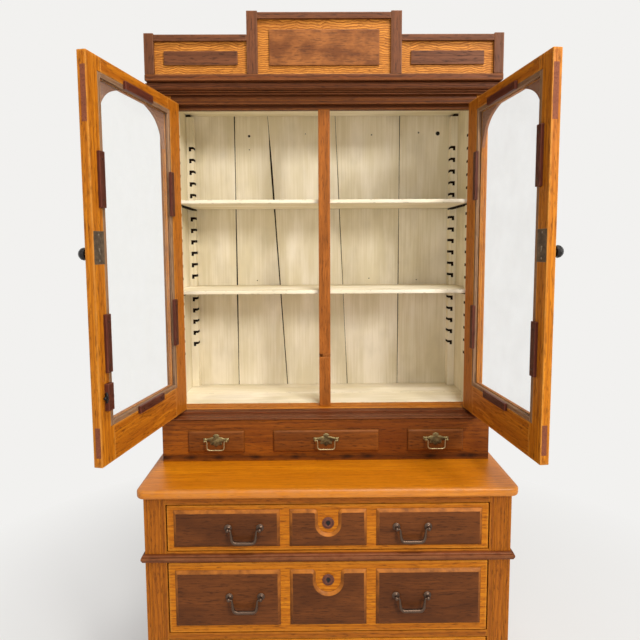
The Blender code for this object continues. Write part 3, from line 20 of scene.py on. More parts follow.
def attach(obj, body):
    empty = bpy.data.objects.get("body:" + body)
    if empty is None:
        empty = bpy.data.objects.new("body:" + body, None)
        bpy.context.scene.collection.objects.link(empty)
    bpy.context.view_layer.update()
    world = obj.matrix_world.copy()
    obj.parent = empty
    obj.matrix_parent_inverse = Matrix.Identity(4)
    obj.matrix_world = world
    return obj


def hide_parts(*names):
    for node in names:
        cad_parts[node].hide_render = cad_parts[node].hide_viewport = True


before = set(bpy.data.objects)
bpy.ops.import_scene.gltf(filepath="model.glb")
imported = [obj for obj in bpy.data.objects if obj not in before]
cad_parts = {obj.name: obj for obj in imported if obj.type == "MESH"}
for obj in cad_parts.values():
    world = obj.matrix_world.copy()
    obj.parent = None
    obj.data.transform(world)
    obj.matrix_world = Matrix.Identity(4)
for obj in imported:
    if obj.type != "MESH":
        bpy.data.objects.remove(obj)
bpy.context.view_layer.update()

log = logging.getLogger("display_cabinet")
Pair = tuple[float, float]
Triple = tuple[float, float, float]
Adder = Callable[..., bpy.types.Node]
CABINET = "cabinet"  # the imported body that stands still
CHEST_TOP_Z = 0.770
CHEST_DEPTH = 0.572
CASE_HALF = 0.4984
WAIST_FRONT = 0.184
CASE_FRONT = 0.256
GLUE = 0.0003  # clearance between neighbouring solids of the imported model


class Way(Enum):
    """The direction that a board's grain, or a piece's length, runs in."""

    ACROSS = 0
    DEEP = 1
    UP = 2


ACROSS, DEEP, UP = Way


class Cut(Enum):
    """How a board was sawn: the rings' centre as (across, through) metres from the board's middle."""

    PLAIN = (0.018, 0.050)
    RIFT = (0.110, 0.075)
    QUARTER = (0.230, 0.012)


class Side(Enum):
    """Left-hand and right-hand pieces, with the sign of their X."""

    LEFT = -1
    RIGHT = 1


# Surfaces


def chance(place: np.ndarray) -> np.ndarray:
    """Four repeatable numbers from 0 to 1 for a place: the fraction of a large sine of its mixed coordinates.

    Args:
        place: A point, three numbers in metres.

    Returns:
        Four numbers, which differ from place to place.
    """
    mix = np.array([[12.99, 78.23, 37.72, 4.14], [39.35, 11.14, 83.16, 26.65], [73.16, 52.24, 9.15, 61.31]])
    return np.modf(np.abs(np.sin(np.asarray(place) @ mix) * 43758.5453))[0]


@dataclass
class Surface:
    """A closed surface as whole arrays.

    Attributes:
        points: One row of X, Y and Z for each point.
        faces: Index arrays, one row a face; each array holds faces of one number of corners.
        grain: For each point, metres along the grain, across it and through the board.
        worn: For each point, 1 on an edge that hands and dusters rub, down to 0 on a flat; raised pieces add
            painted highlight on edges facing up.
    """

    points: np.ndarray
    faces: list[np.ndarray]
    grain: np.ndarray
    worn: np.ndarray

    def placed(self, matrix: Matrix) -> "Surface":
        """The same surface moved by a matrix, with its grain left on it.

        Args:
            matrix: A turn and a shift, four by four.

        Returns:
            A new surface that shares the faces.
        """
        turn = np.array(matrix)
        return replace(self, points=self.points @ turn[:3, :3].T + turn[:3, 3])

    def shifted(self, shift: Sequence[float]) -> "Surface":
        """The same surface moved by a vector."""
        return replace(self, points=self.points + np.asarray(shift, float))

    def flipped(self) -> "Surface":
        """The mirror image across X = 0, its faces turned round so that they still look outwards."""
        return replace(self, points=self.points * (-1, 1, 1), faces=[rows[:, ::-1] for rows in self.faces])


def joined(parts: Sequence[Surface]) -> Surface:
    """Several surfaces as one, each still closed in itself.

    Args:
        parts: The surfaces.

    Returns:
        One surface with all their points and faces.
    """
    starts = np.cumsum([0] + [len(part.points) for part in parts[:-1]])
    faces = [rows + start for part, start in zip(parts, starts) for rows in part.faces]
    return Surface(np.concatenate([part.points for part in parts]), faces,
                   np.concatenate([part.grain for part in parts]),
                   np.concatenate([part.worn for part in parts]))


def grain_of(points: np.ndarray, way: Way, cut: Cut, middle: np.ndarray | None = None) -> np.ndarray:
    """Coordinates along, across and through a board, shifted so that no two boards show one figure.

    The board's middle is taken from each point, the axes are put in the order along, wide and thin, and
    the saw cut's distance to the rings' centre is added with a share of chance.

    Args:
        points: The points of one board.
        way: The axis of the grain.
        cut: How the board was sawn.
        middle: The place that sets the chance, where two pieces are to look like one board.

    Returns:
        One row of three metres for each point.
    """
    low, high = points.min(0), points.max(0)
    centre = (low + high) / 2 if middle is None else np.asarray(middle, float)
    others = [axis for axis in range(3) if axis != way.value]
    others.sort(key=lambda axis: high[axis] - low[axis], reverse=True)
    luck = chance(centre)
    across, through = cut.value
    shift = np.array([luck[0] * 9.0, across * (0.6 + 0.8 * luck[1]) * (1 if luck[3] > 0.5 else -1),
                      through * (0.7 + 0.6 * luck[2])])
    return (points - centre)[:, [way.value] + others] + shift


def ring_faces(rings: int, count: int) -> list[np.ndarray]:
    """Faces of a stack of closed loops: four-cornered faces between neighbours, and one cap at each end.

    Args:
        rings: How many loops.
        count: Points in each loop.

    Returns:
        The four-cornered faces, then the two caps.
    """
    start = np.arange(rings - 1)[:, None] * count
    step = np.arange(count)[None, :]
    after = (step + 1) % count
    quads = np.stack([start + step, start + after, start + count + after, start + count + step], -1)
    caps = np.stack([np.arange(count)[::-1], np.arange(count) + (rings - 1) * count])
    return [quads.reshape(-1, 4), caps]


def rounded_loop(corners: Sequence[Pair] | np.ndarray, radius: float,
                 band: float) -> tuple[np.ndarray, np.ndarray]:
    """A polygon whose corners are eased: five points a corner, on its two sides and on a curve between them.

    Each side of a corner gets one point a band away and one where the curve starts; the middle point is
    a quarter of each curve end plus half of the corner. Both distances are kept under half a side.

    Args:
        corners: The polygon's corners in order.
        radius: Where the curve starts, from the corner.
        band: How far the worn band reaches beyond the curve.

    Returns:
        The points, five rows a corner, and how worn each is: 1 on a corner that stands out, 0 in a hollow.
    """
    points = np.asarray(corners, float)
    before, after = np.roll(points, 1, 0) - points, np.roll(points, -1, 0) - points
    long_before, long_after = np.linalg.norm(before, axis=1), np.linalg.norm(after, axis=1)
    room = 0.46 * np.minimum(long_before, long_after)
    near = np.minimum(radius, 0.6 * room)[:, None]
    far = np.minimum(near[:, 0] + band, room)[:, None]
    before, after = before / long_before[:, None], after / long_after[:, None]
    first, last = points + before * near, points + after * near
    middle = 0.25 * first + 0.5 * points + 0.25 * last
    eased = np.stack([points + before * far, first, middle, last, points + after * far], 1)
    turn = after[:, 0] * -before[:, 1] - after[:, 1] * -before[:, 0]
    area = np.sum(points[:, 0] * np.roll(points[:, 1], -1) - np.roll(points[:, 0], -1) * points[:, 1])
    stands_out = (turn * area < 0).astype(float)[:, None]
    worn = stands_out * np.array([0.0, 0.6, 1.0, 0.6, 0.0])
    return eased.reshape(-1, 2), worn.reshape(-1)


def inset_loop(loop: np.ndarray, distance: float) -> np.ndarray:
    """A loop drawn in by a distance: each point moves along the mitre of its two sides' inward normals.

    Args:
        loop: Points of a loop that runs anticlockwise.
        distance: How far in; below 0 is out.

    Returns:
        The moved points.
    """
    side = np.roll(loop, -1, 0) - loop
    side = side / np.maximum(np.linalg.norm(side, axis=1), 1e-9)[:, None]
    inward = np.stack([-side[:, 1], side[:, 0]], 1)
    other = np.roll(inward, 1, 0)
    mitre = (inward + other) / np.maximum(1.0 + np.sum(inward * other, 1), 0.35)[:, None]
    return loop + distance * mitre


def anticlockwise(loop: np.ndarray) -> np.ndarray:
    """The loop in anticlockwise order, by the sign of its area."""
    area = np.sum(loop[:, 0] * np.roll(loop[:, 1], -1) - np.roll(loop[:, 0], -1) * loop[:, 1])
    return loop if area > 0 else loop[::-1]


def stacked(loops: Sequence[np.ndarray], levels: Sequence[float], worn: np.ndarray, axis: Way, way: Way,
            cut: Cut = Cut.PLAIN, middle: np.ndarray | None = None) -> Surface:
    """A surface through loops set one above another along an axis, capped at both ends.

    Args:
        loops: Loops of one number of points, in the plane of the other two axes.
        levels: Each loop's place on the axis.
        worn: How worn each point is, one row a loop.
        axis: The axis that the loops are set along.
        way: The axis of the grain.
        cut: How the board was sawn.
        middle: The place that sets the grain's chance.

    Returns:
        The closed surface.
    """
    flat = np.stack(loops)
    heights = np.broadcast_to(np.asarray(levels, float)[:, None, None], flat.shape[:2] + (1,))
    points = np.insert(flat, axis.value, heights[..., 0], axis=2).reshape(-1, 3)
    return Surface(points, ring_faces(len(loops), flat.shape[1]), grain_of(points, way, cut, middle),
                   np.asarray(worn, float).reshape(-1))


def milled(corners: Sequence[Pair] | np.ndarray, span: Pair, axis: Way, edge: float = 0.0012,
           band: float = 0.005, way: Way | None = None, cut: Cut = Cut.PLAIN,
           middle: np.ndarray | None = None, ease: float = 0.0012, worn: float | None = None) -> Surface:
    """A section carried straight along an axis, with its arrises and its ends eased.

    At each end the section is drawn in by one less the cosine of an angle, and set back by one less its sine,
    times the edge's radius, for angles of 90, 45 and 0 degrees; a further ring keeps the wear near the edge.
    Each ring's corners are eased after it is drawn in, so that no loop crosses itself.

    Args:
        corners: The section's corners, or a smooth loop where its wear is given.
        span: Where the piece starts and ends on the axis.
        axis: The axis that it is carried along.
        edge: Radius of the eased ends.
        band: Width of the worn band.
        way: The grain's axis, which is the same axis unless given.
        cut: How the board was sawn.
        middle: The place that sets the grain's chance.
        ease: Where the curve at each of the section's corners starts.
        worn: How worn the whole of a smooth loop is.

    Returns:
        The closed surface.
    """
    outline = anticlockwise(np.asarray(corners, float))
    low, high = min(span), max(span)
    size = min(high - low, float(np.ptp(outline, 0).min()))
    radius, reach = min(edge, 0.2 * size), min(band, 0.2 * size)
    turns = np.radians([90.0, 45.0, 0.0])
    insets = np.concatenate([[radius + 0.4 * reach], radius * (1 - np.cos(turns)), [0.0]])
    backs = np.concatenate([[0.0], radius * (1 - np.sin(turns)), [radius + reach]])
    rub = np.array([0.0, 0.6, 1.0, 0.6, 0.0])
    insets, rub = np.concatenate([insets, insets[::-1]]), np.concatenate([rub, rub[::-1]])
    levels = np.concatenate([low + backs, high - backs[::-1]])
    loops = [inset_loop(outline, inset) for inset in insets]
    wear = np.full(len(outline), worn or 0.0)
    if worn is None:
        loops, wears = zip(*(rounded_loop(loop, ease, band) for loop in loops))
        wear = wears[0]
    shade = np.maximum(rub[:, None], wear[None, :])
    shade[[0, -1]] = 0.0
    return stacked(loops, levels, shade, axis, way or axis, cut, middle)


def board(low: Sequence[float], high: Sequence[float], way: Way, edge: float = 0.0012, band: float = 0.005,
          cut: Cut = Cut.PLAIN, middle: np.ndarray | None = None) -> Surface:
    """A planed board between two corners, with eased edges and its grain along its length.

    Args:
        low: One corner.
        high: The opposite corner.
        way: The axis of the grain.
        edge: Radius of the eased edges.
        band: Width of the worn band.
        cut: How it was sawn.
        middle: The place that sets the grain's chance.

    Returns:
        The closed surface.
    """
    first, second = np.minimum(low, high), np.maximum(low, high)
    others = [axis for axis in range(3) if axis != way.value]
    (x0, y0), (x1, y1) = first[others], second[others]
    reach = min(band, 0.3 * min(x1 - x0, y1 - y0))
    return milled([(x0, y0), (x1, y0), (x1, y1), (x0, y1)], (first[way.value], second[way.value]), way, edge,
                  reach, way, cut, middle, edge)


def top_lit_share(loops: Sequence[np.ndarray]) -> np.ndarray:
    """Painted highlight: the share of the wear each corner of nested loops gets, 0.45 + 0.55 u, where u is 1
    facing up.

    Args:
        loops: Loops of the same count, the outermost first.

    Returns:
        Shares of the rubbed colour, wear and painted highlight, 0 to 1.
    """
    lean = np.asarray(loops[0], float) - np.asarray(loops[-1], float)
    up = lean[:, 1] / np.maximum(np.linalg.norm(lean, axis=1), 1e-9)
    return np.clip(0.45 + 0.55 * up, 0.0, 1.0)


def raised(outline: Sequence[Pair] | np.ndarray, steps: Sequence[Pair], rub: Sequence[float], axis: Way,
           way: Way, ease: float = 0.0) -> Surface:
    """An outline drawn in step by step along an axis, as for a fielded panel or a rounded plate.

    Args:
        outline: The outermost loop.
        steps: For each loop, how far it is drawn in and its place on the axis.
        rub: How worn each loop is.
        axis: The axis that the steps climb.
        way: The axis of the grain.
        ease: Where the curve at each corner starts, or 0 for an outline that is smooth already.

    Returns:
        The closed surface.
    """
    loops = [inset_loop(anticlockwise(np.asarray(outline, float)), inset) for inset, _ in steps]
    if ease:
        loops = [rounded_loop(loop, ease, ease)[0] for loop in loops]
    # Edges that face up get more of the rubbed colour: painted highlight, as though lit from above
    share = np.ones(len(loops[0])) if axis is UP else top_lit_share(loops)
    return stacked(loops, [level for _, level in steps], np.outer(rub, share), axis, way)


def run_round(profile: np.ndarray, worn: np.ndarray, path: Sequence[Pair], cut: Cut = Cut.RIFT) -> Surface:
    """A moulding: a profile of (out, up) points carried along a path on the plan, mitred at its corners.

    Each corner's ring is the corner plus out times the mitre of the two legs' outward normals, at height up;
    the grain follows the distance along the path.

    Args:
        profile: The closed profile.
        worn: How worn each of its points is.
        path: Corners of the path, as X and Y; out is to the right of its direction.
        cut: How the stock was sawn.

    Returns:
        The closed surface.
    """
    corners = np.asarray(path, float)
    legs = np.diff(corners, axis=0)
    lengths = np.linalg.norm(legs, axis=1)
    legs = legs / lengths[:, None]
    outs = np.stack([legs[:, 1], -legs[:, 0]], 1)
    before, after = np.concatenate([outs[:1], outs]), np.concatenate([outs, outs[-1:]])
    mitre = (before + after) / (1.0 + np.sum(before * after, 1))[:, None]
    plan = corners[:, None, :] + mitre[:, None, :] * profile[None, :, :1]
    up = np.broadcast_to(profile[None, :, 1:], plan.shape[:2] + (1,))
    points = np.concatenate([plan, up], 2).reshape(-1, 3)
    along = np.repeat(np.concatenate([[0.0], np.cumsum(lengths)]), len(profile))
    flat = np.tile(profile, (len(corners), 1))
    own = np.stack([along, flat[:, 1], flat[:, 0]], 1)
    luck = chance(points.mean(0))
    grain = own + np.array([luck[0] * 9.0, cut.value[0] + 0.05 * luck[1], cut.value[1] + 0.05 * luck[2]])
    grain[:, 1] -= flat[:, 1].mean()
    return Surface(points, ring_faces(len(corners), len(profile)), grain, np.tile(worn, len(corners)))


def moulded(corners: Sequence[Pair], ease: float, band: float, path: Sequence[Pair],
            cut: Cut = Cut.RIFT) -> Surface:
    """A moulding whose profile is a polygon of (out, up) corners with its arrises eased."""
    loop, worn = rounded_loop(corners, ease, band)
    return run_round(loop, worn, path, cut)


def turned(profile: np.ndarray, place: Sequence[float], steps: int = 28, rub: Sequence[float] | None = None,
           way: Way = DEEP) -> Surface:
    """A turned piece: a profile of (radius, forward) points spun about an axis, its ends closed by poles.

    A point is the radius times the cosine and the sine of its angle, beside the axis, and forward along it,
    which is towards -Y, or along +X or +Z where the way says so. The grain runs round and forward.

    Args:
        profile: Radius and forward distance, all radii above 0.
        place: Where the axis starts.
        steps: Points round.
        rub: How worn each profile point is.
        way: The axis.

    Returns:
        The closed surface.
    """
    outline = np.asarray(profile, float)
    turn = np.arange(steps) * 2 * math.pi / steps
    radius, forward = outline[:, :1], outline[:, 1:]
    side, other = radius * np.cos(turn), radius * np.sin(turn)
    ahead = np.broadcast_to(forward, side.shape)
    axes = {DEEP: (side, -ahead, other), ACROSS: (ahead, side, other), UP: (side, other, ahead)}
    points = np.stack(axes[way], -1).reshape(-1, 3)
    worn = np.repeat(np.zeros(len(outline)) if rub is None else np.asarray(rub, float), steps)
    round_way = np.broadcast_to(turn * 0.01, side.shape).reshape(-1)
    grain = np.stack([round_way, ahead.reshape(-1), side.reshape(-1)], 1) + chance(np.asarray(place))[:3]
    return Surface(points + np.asarray(place, float), ring_faces(len(outline), steps), grain, worn)


def rod(line: np.ndarray, radii: np.ndarray, sides: int = 14) -> Surface:
    """A bent rod: circles square to a line that lies in an upright plane, capped at both ends.

    Each circle is the line's point plus the radius times the cosine of an angle along Y, and the sine along
    the cross product of the line's direction and Y.

    Args:
        line: The middle line's points.
        radii: The radius at each.
        sides: Points round.

    Returns:
        The closed surface.
    """
    along = np.gradient(line, axis=0)
    along = along / np.linalg.norm(along, axis=1)[:, None]
    deep = np.array([0.0, 1.0, 0.0])
    side = np.cross(along, deep)
    turn = np.arange(sides) * 2 * math.pi / sides
    ring = np.cos(turn)[None, :, None] * deep + np.sin(turn)[None, :, None] * side[:, None, :]
    points = (line[:, None, :] + radii[:, None, None] * ring).reshape(-1, 3)
    far = np.repeat(np.cumsum(np.linalg.norm(np.diff(line, axis=0, prepend=line[:1]), axis=1)), sides)
    low = np.tile(np.maximum(0.0, -np.cos(turn)), len(line))
    grain = np.stack([far, points[:, 1], points[:, 2]], 1)
    return Surface(points, ring_faces(len(line), sides), grain, 0.8 * low)


def smooth_line(corners: Sequence[Triple], radius: float, steps: int = 6) -> np.ndarray:
    """An open line whose inner corners are rounded: a curve with the corner as its control point.

    The curve is the square of one less t times its start, plus twice t times one less t times the corner,
    plus the square of t times its end.

    Args:
        corners: The line's corners.
        radius: How far from each corner its curve starts, kept under half a side.
        steps: Points on each curve.

    Returns:
        The points in order.
    """
    points = np.asarray(corners, float)
    before, after = points[:-2] - points[1:-1], points[2:] - points[1:-1]
    long_before, long_after = np.linalg.norm(before, axis=1), np.linalg.norm(after, axis=1)
    reach = np.minimum(radius, 0.48 * np.minimum(long_before, long_after))[:, None]
    start = points[1:-1] + before / long_before[:, None] * reach
    end = points[1:-1] + after / long_after[:, None] * reach
    share = np.linspace(0, 1, steps)[None, :, None]
    curve = ((1 - share) ** 2 * start[:, None] + 2 * share * (1 - share) * points[1:-1][:, None]
             + share ** 2 * end[:, None])
    return np.concatenate([points[:1], curve.reshape(-1, points.shape[1]), points[-1:]])


def pierced(x_cuts: Sequence[float], z_cuts: Sequence[float], holes: Sequence[tuple[int, int]],
            depth: Pair) -> Surface:
    """An upright board with square holes and its grain across, on a grid of cells.

    Solid cells give a face on each side of the board, and each border between a solid cell and an empty
    one, or the outside, gives a wall; points that no face uses are dropped.

    Args:
        x_cuts: The grid's lines across, from left to right.
        z_cuts: The grid's lines up.
        holes: Empty cells, as their column and row.
        depth: The board's front and back, as Y.

    Returns:
        The closed surface.
    """
    columns, rows = len(x_cuts) - 1, len(z_cuts) - 1
    solid = np.ones((columns, rows), bool)
    solid[tuple(np.array(holes).T)] = False
    grid = np.stack(np.meshgrid(x_cuts, depth, z_cuts, indexing="ij"), -1)
    number = np.arange(grid[..., 0].size).reshape(grid.shape[:3])
    i, k = np.nonzero(solid)
    front = np.stack([number[i, 0, k], number[i + 1, 0, k], number[i + 1, 0, k + 1], number[i, 0, k + 1]], 1)
    back = np.stack([number[i, 1, k], number[i, 1, k + 1], number[i + 1, 1, k + 1], number[i + 1, 1, k]], 1)
    wide = np.pad(solid, 1)
    walls = []
    i, k = np.nonzero(wide[:-1, 1:-1] != wide[1:, 1:-1])
    walls.append(np.stack([number[i, 0, k], number[i, 1, k], number[i, 1, k + 1], number[i, 0, k + 1]], 1))
    i, k = np.nonzero(wide[1:-1, :-1] != wide[1:-1, 1:])
    walls.append(np.stack([number[i, 0, k], number[i + 1, 0, k], number[i + 1, 1, k], number[i, 1, k]], 1))
    points = grid.reshape(-1, 3)
    return Surface(points, [front, back] + walls, grain_of(points, ACROSS, Cut.PLAIN), np.zeros(len(points)))


# Finishes


def linear(sheet_colour: str) -> tuple[float, float, float, float]:
    """An sRGB hex colour as linear light.

    Args:
        sheet_colour: Six hex digits after a hash sign.

    Returns:
        Red, green, blue and 1.
    """
    parts = [int(sheet_colour[i:i + 2], 16) / 255 for i in (1, 3, 5)]
    red, green, blue = (part / 12.92 if part <= 0.04045 else ((part + 0.055) / 1.055) ** 2.4
                        for part in parts)
    return red, green, blue, 1.0


def add_node(tree: bpy.types.NodeTree, kind: str, inputs: dict | None = None, stops: Sequence[Pair] = (),
             **settings: object) -> bpy.types.Node:
    """Add one shader node with its settings and links.

    Args:
        tree: The material's node tree.
        kind: Blender's name of the node, without the ShaderNode before it.
        inputs: For each input, by name or number, a node or socket to link, or a hex colour or value to set.
        stops: Places and grey levels of a colour ramp.
        settings: The node's own properties.

    Returns:
        The node.
    """
    node = tree.nodes.new("ShaderNode" + kind)
    for name, value in settings.items():
        setattr(node, name, value)
    for name, value in (inputs or {}).items():
        if isinstance(value, bpy.types.Node):
            value = next(socket for socket in value.outputs if socket.enabled)
        if isinstance(value, bpy.types.NodeSocket):
            tree.links.new(value, node.inputs[name])
        else:
            node.inputs[name].default_value = linear(value) if isinstance(value, str) else value
    for number, (place, level) in enumerate(stops):
        marks = node.color_ramp.elements
        mark = marks[number] if number < 2 else marks.new(place)
        mark.position, mark.color = place, (level, level, level, 1.0)
    return node


def new_material(name: str, level: float = 0.5) -> tuple[bpy.types.Material, Adder, bpy.types.Node]:
    """An empty node material with its Principled shader.

    Args:
        name: The material's name.
        level: Strength of the shader's mirror-like part; 0.5 is that of bare glass or lacquer.

    Returns:
        The material, add_node for its tree, and the shader node.
    """
    made = bpy.data.materials.new(name)
    made.use_nodes = True
    shader = made.node_tree.nodes["Principled BSDF"]
    shader.inputs["Specular IOR Level"].default_value = level
    return made, partial(add_node, made.node_tree), shader


def wire(shader: bpy.types.Node, inputs: dict[str, bpy.types.Node]) -> None:
    """Join a node to each named input of a shader."""
    for name, node in inputs.items():
        shader.id_data.links.new(next(socket for socket in node.outputs if socket.enabled),
                                 shader.inputs[name])


@dataclass(frozen=True)
class Timber:
    """Sawn wood with stain and varnish: growth rings, streaks, drifting tone, pores and rubbed edges, which
    carry painted highlight where they face up.

    Rings lie ring_mm apart and wander sideways by wander_mm, in waves wave_mm long. Contrast, streaks, pores,
    drift and rub say from 0 to 1 how strongly each shows, and the drift's patches are drift_mm long and wide.
    Pores are drawn pore_mm wide, because real ones, 0.3 mm, are too fine to show. Deep is the colour of pores
    and knots; at the knot level, unless that is 0, lie a row of knots and a dark band along that height.
    """

    name: str
    light: str
    dark: str
    deep: str
    rubbed_and_lit: str
    ring_mm: float = 8.0
    wander_mm: float = 12.0
    wave_mm: float = 260.0
    contrast: float = 0.6
    streaks: float = 0.55
    pores: float = 0.6
    drift: float = 0.4
    drift_mm: Pair = (500.0, 45.0)
    roughness: float = 0.42
    gloss: float = 0.15
    rub: float = 0.6
    pore_mm: float = 1.8
    knot_and_band_level: float = 0.0

    def build(self) -> bpy.types.Material:
        """Make the node material."""
        made, add, shader = new_material(self.name, self.gloss)
        grain = add("Attribute", attribute_name="grain").outputs["Vector"]
        worn = add("Attribute", attribute_name="worn").outputs["Fac"]
        slow = add("Mapping", {"Vector": grain, "Scale": (1000 / self.wave_mm, 14.0, 14.0)})
        wander = add("TexNoise", {"Vector": slow, "Scale": 1.0, "Detail": 2.5})
        reach = self.wander_mm / 1000
        bent = add("VectorMath", {0: wander.outputs["Color"], 1: (0.0, reach, reach), 2: grain},
                   operation="MULTIPLY_ADD")
        rings = add("TexWave", {"Vector": bent, "Scale": 100 * math.pi / self.ring_mm, "Distortion": 1.1,
                                "Detail": 2.0, "Detail Scale": 0.12}, wave_type="RINGS", rings_direction="X",
                    wave_profile="SAW")
        ring = add("ValToRGB", {"Fac": rings}, [(0.0, 0.85), (0.16, 1.0), (0.42, 0.25), (0.95, 0.0)])
        figure = add("Math", {0: ring, 1: self.contrast}, operation="MULTIPLY")
        colour = add("Mix", {0: figure, 6: self.light, 7: self.dark}, data_type="RGBA")
        strand = 500 / self.pore_mm
        long, wide = (500 / size for size in self.drift_mm)
        for scale, low, high, share, tone in (
                ((6.0, strand * 0.6, strand * 0.6), 0.40, 0.66, self.streaks, self.dark),
                ((long, wide, wide), 0.38, 0.64, self.drift, self.dark),
                ((36.0, strand, strand), 0.52, 0.68, self.pores, self.deep)):
            drawn = add("Mapping", {"Vector": bent, "Scale": scale})
            noise = add("TexNoise", {"Vector": drawn, "Scale": 1.0, "Detail": 3.0, "Roughness": 0.62})
            amount = add("MapRange", {"Value": noise, "From Min": low, "From Max": high, "To Max": share})
            colour = add("Mix", {0: amount, 6: colour, 7: tone}, data_type="RGBA")
        relief = add("Math", {0: amount, 1: figure}, operation="ADD")
        if self.knot_and_band_level:
            place = add("SeparateXYZ", {0: add("TexCoord").outputs["Object"]})
            beside = add("TexVoronoi", {"W": place.outputs["X"], "Scale": 9.0}, voronoi_dimensions="1D")
            above = add("Math", {0: place.outputs["Z"], 1: self.knot_and_band_level}, operation="SUBTRACT")
            both = add("CombineXYZ", {"X": beside, "Y": above})
            # First pass: a dark band along the knot level, near the board's foot; second pass: the knots
            for spread, nearest, share in (((0.0, 62.0, 0.0), 0.2, 0.5), ((4.2, 95.0, 0.0), 0.1, 0.95)):
                sized = add("VectorMath", {0: both, 1: spread}, operation="MULTIPLY")
                away = add("VectorMath", {0: sized}, operation="LENGTH")
                ragged = add("Math", {0: wander, 1: away, 2: away}, operation="MULTIPLY_ADD")
                knot = add("MapRange", {"Value": ragged, "From Min": nearest, "From Max": 1.4,
                                        "To Min": share, "To Max": 0.0})
                colour = add("Mix", {0: knot, 6: colour, 7: self.deep}, data_type="RGBA")
        patches = add("TexNoise", {"Vector": grain, "Scale": 38.0, "Detail": 3.0})
        patch = add("MapRange", {"Value": patches, "From Min": 0.3, "From Max": 0.62,
                                 "To Min": 0.3 * self.rub, "To Max": self.rub})
        rub = add("Math", {0: worn, 1: patch}, operation="MULTIPLY")
        final = add("Mix", {0: rub, 6: colour, 7: self.rubbed_and_lit}, data_type="RGBA")
        gloss = add("MapRange", {"Value": relief, "From Max": 1.4, "To Min": self.roughness,
                                 "To Max": self.roughness + 0.2})
        bump = add("Bump", {"Height": relief, "Strength": 0.6, "Distance": 0.0004}, invert=True)
        wire(shader, {"Base Color": final, "Roughness": gloss, "Normal": bump})
        return made


@dataclass(frozen=True)
class MilkPaint:
    """Old cream paint brushed over softwood: streaks along the grain, thin patches and knocks at edges."""

    name: str
    coat: str
    thin: str
    bare: str
    streak_mm: float = 3.0
    bareness: float = 0.45
    roughness: float = 0.55

    def build(self) -> bpy.types.Material:
        """Make the node material."""
        made, add, shader = new_material(self.name, 0.3)
        grain = add("Attribute", attribute_name="grain").outputs["Vector"]
        worn = add("Attribute", attribute_name="worn").outputs["Fac"]
        strand = 500 / self.streak_mm
        noises = []
        for scale in ((5.0, strand, strand), (3.5, 14.0, 14.0), (65.0, 65.0, 65.0), (7.0, 12.0, 12.0)):
            drawn = add("Mapping", {"Vector": grain, "Scale": scale})
            noises.append(add("TexNoise", {"Vector": drawn, "Scale": 1.0, "Detail": 3.0}))
        streaks, cloud, chips, stains = noises
        both = add("Math", {0: streaks, 1: 0.5, 2: cloud}, operation="MULTIPLY_ADD")
        thinness = add("MapRange", {"Value": both, "From Min": 0.58, "From Max": 0.88})
        coat = add("Mix", {0: thinness, 6: self.coat, 7: self.thin}, data_type="RGBA")
        stain = add("MapRange", {"Value": stains, "From Min": 0.50, "From Max": 0.74, "To Max": 0.18})
        coat = add("Mix", {0: stain, 6: coat, 7: self.bare}, data_type="RGBA")
        chip = add("MapRange", {"Value": chips, "From Min": 0.57, "From Max": 0.62, "To Max": self.bareness})
        knocked = add("Math", {0: chip, 1: worn}, operation="MULTIPLY")
        final = add("Mix", {0: knocked, 6: coat, 7: self.bare}, data_type="RGBA")
        gloss = add("MapRange", {"Value": streaks, "To Min": self.roughness, "To Max": self.roughness + 0.2})
        bump = add("Bump", {"Height": both, "Strength": 0.5, "Distance": 0.0008})
        wire(shader, {"Base Color": final, "Roughness": gloss, "Normal": bump})
        return made


@dataclass(frozen=True)
class CastMetal:
    """Cast or drawn metal with a patina: dull in its hollows, rubbed brighter where touched, with painted
    highlight on upper edges.
    """

    name: str
    bright: str
    patina: str
    grime: str
    roughness: float = 0.35
    metallic: float = 1.0
    blotch_mm: float = 6.0

    def build(self) -> bpy.types.Material:
        """Make the node material; it reads Object coordinates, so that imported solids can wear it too."""
        made, add, shader = new_material(self.name)
        place = add("TexCoord").outputs["Object"]
        worn = add("Attribute", attribute_name="worn").outputs["Fac"]
        blotch = add("TexNoise", {"Vector": place, "Scale": 500 / self.blotch_mm, "Detail": 4.0,
                                  "Roughness": 0.6})
        pits = add("TexNoise", {"Vector": place, "Scale": 700.0, "Detail": 2.0})
        shine = add("Math", {0: blotch, 1: worn}, operation="ADD")
        tone = add("MapRange", {"Value": shine, "From Min": 0.42, "From Max": 0.85})
        metal = add("Mix", {0: tone, 6: self.patina, 7: self.bright}, data_type="RGBA")
        pitted = add("MapRange", {"Value": pits, "From Min": 0.56, "From Max": 0.68, "To Max": 0.7})
        final = add("Mix", {0: pitted, 6: metal, 7: self.grime}, data_type="RGBA")
        gloss = add("MapRange", {"Value": tone, "To Min": self.roughness + 0.22, "To Max": self.roughness})
        bump = add("Bump", {"Height": pits, "Strength": 0.35, "Distance": 0.0003})
        wire(shader, {"Base Color": final, "Roughness": gloss, "Normal": bump})
        shader.inputs["Metallic"].default_value = self.metallic
        return made


@dataclass(frozen=True)
class OldGlass:
    """Drawn window glass: clear, faintly green, with a slow ripple and a film of dust."""

    name: str
    tint: str
    cover: float = 0.06
    ripple_mm: float = 60.0

    def build(self) -> bpy.types.Material:
        """Make the node material."""
        made, add, shader = new_material(self.name)
        place = add("TexCoord").outputs["Object"]
        ripple = add("TexNoise", {"Vector": place, "Scale": 500 / self.ripple_mm, "Detail": 1.0})
        dust = add("TexNoise", {"Vector": place, "Scale": 14.0, "Detail": 5.0})
        cover = add("MapRange", {"Value": dust, "From Min": 0.3, "From Max": 0.7,
                                 "To Min": self.cover * 0.7, "To Max": self.cover * 1.4})
        bump = add("Bump", {"Height": ripple, "Strength": 0.4, "Distance": 0.002})
        wire(shader, {"Alpha": cover, "Normal": bump})
        shader.inputs["Base Color"].default_value = linear(self.tint)
        shader.inputs["Roughness"].default_value = 0.04
        shader.inputs["IOR"].default_value = 1.52
        made.surface_render_method = "DITHERED"
        return made


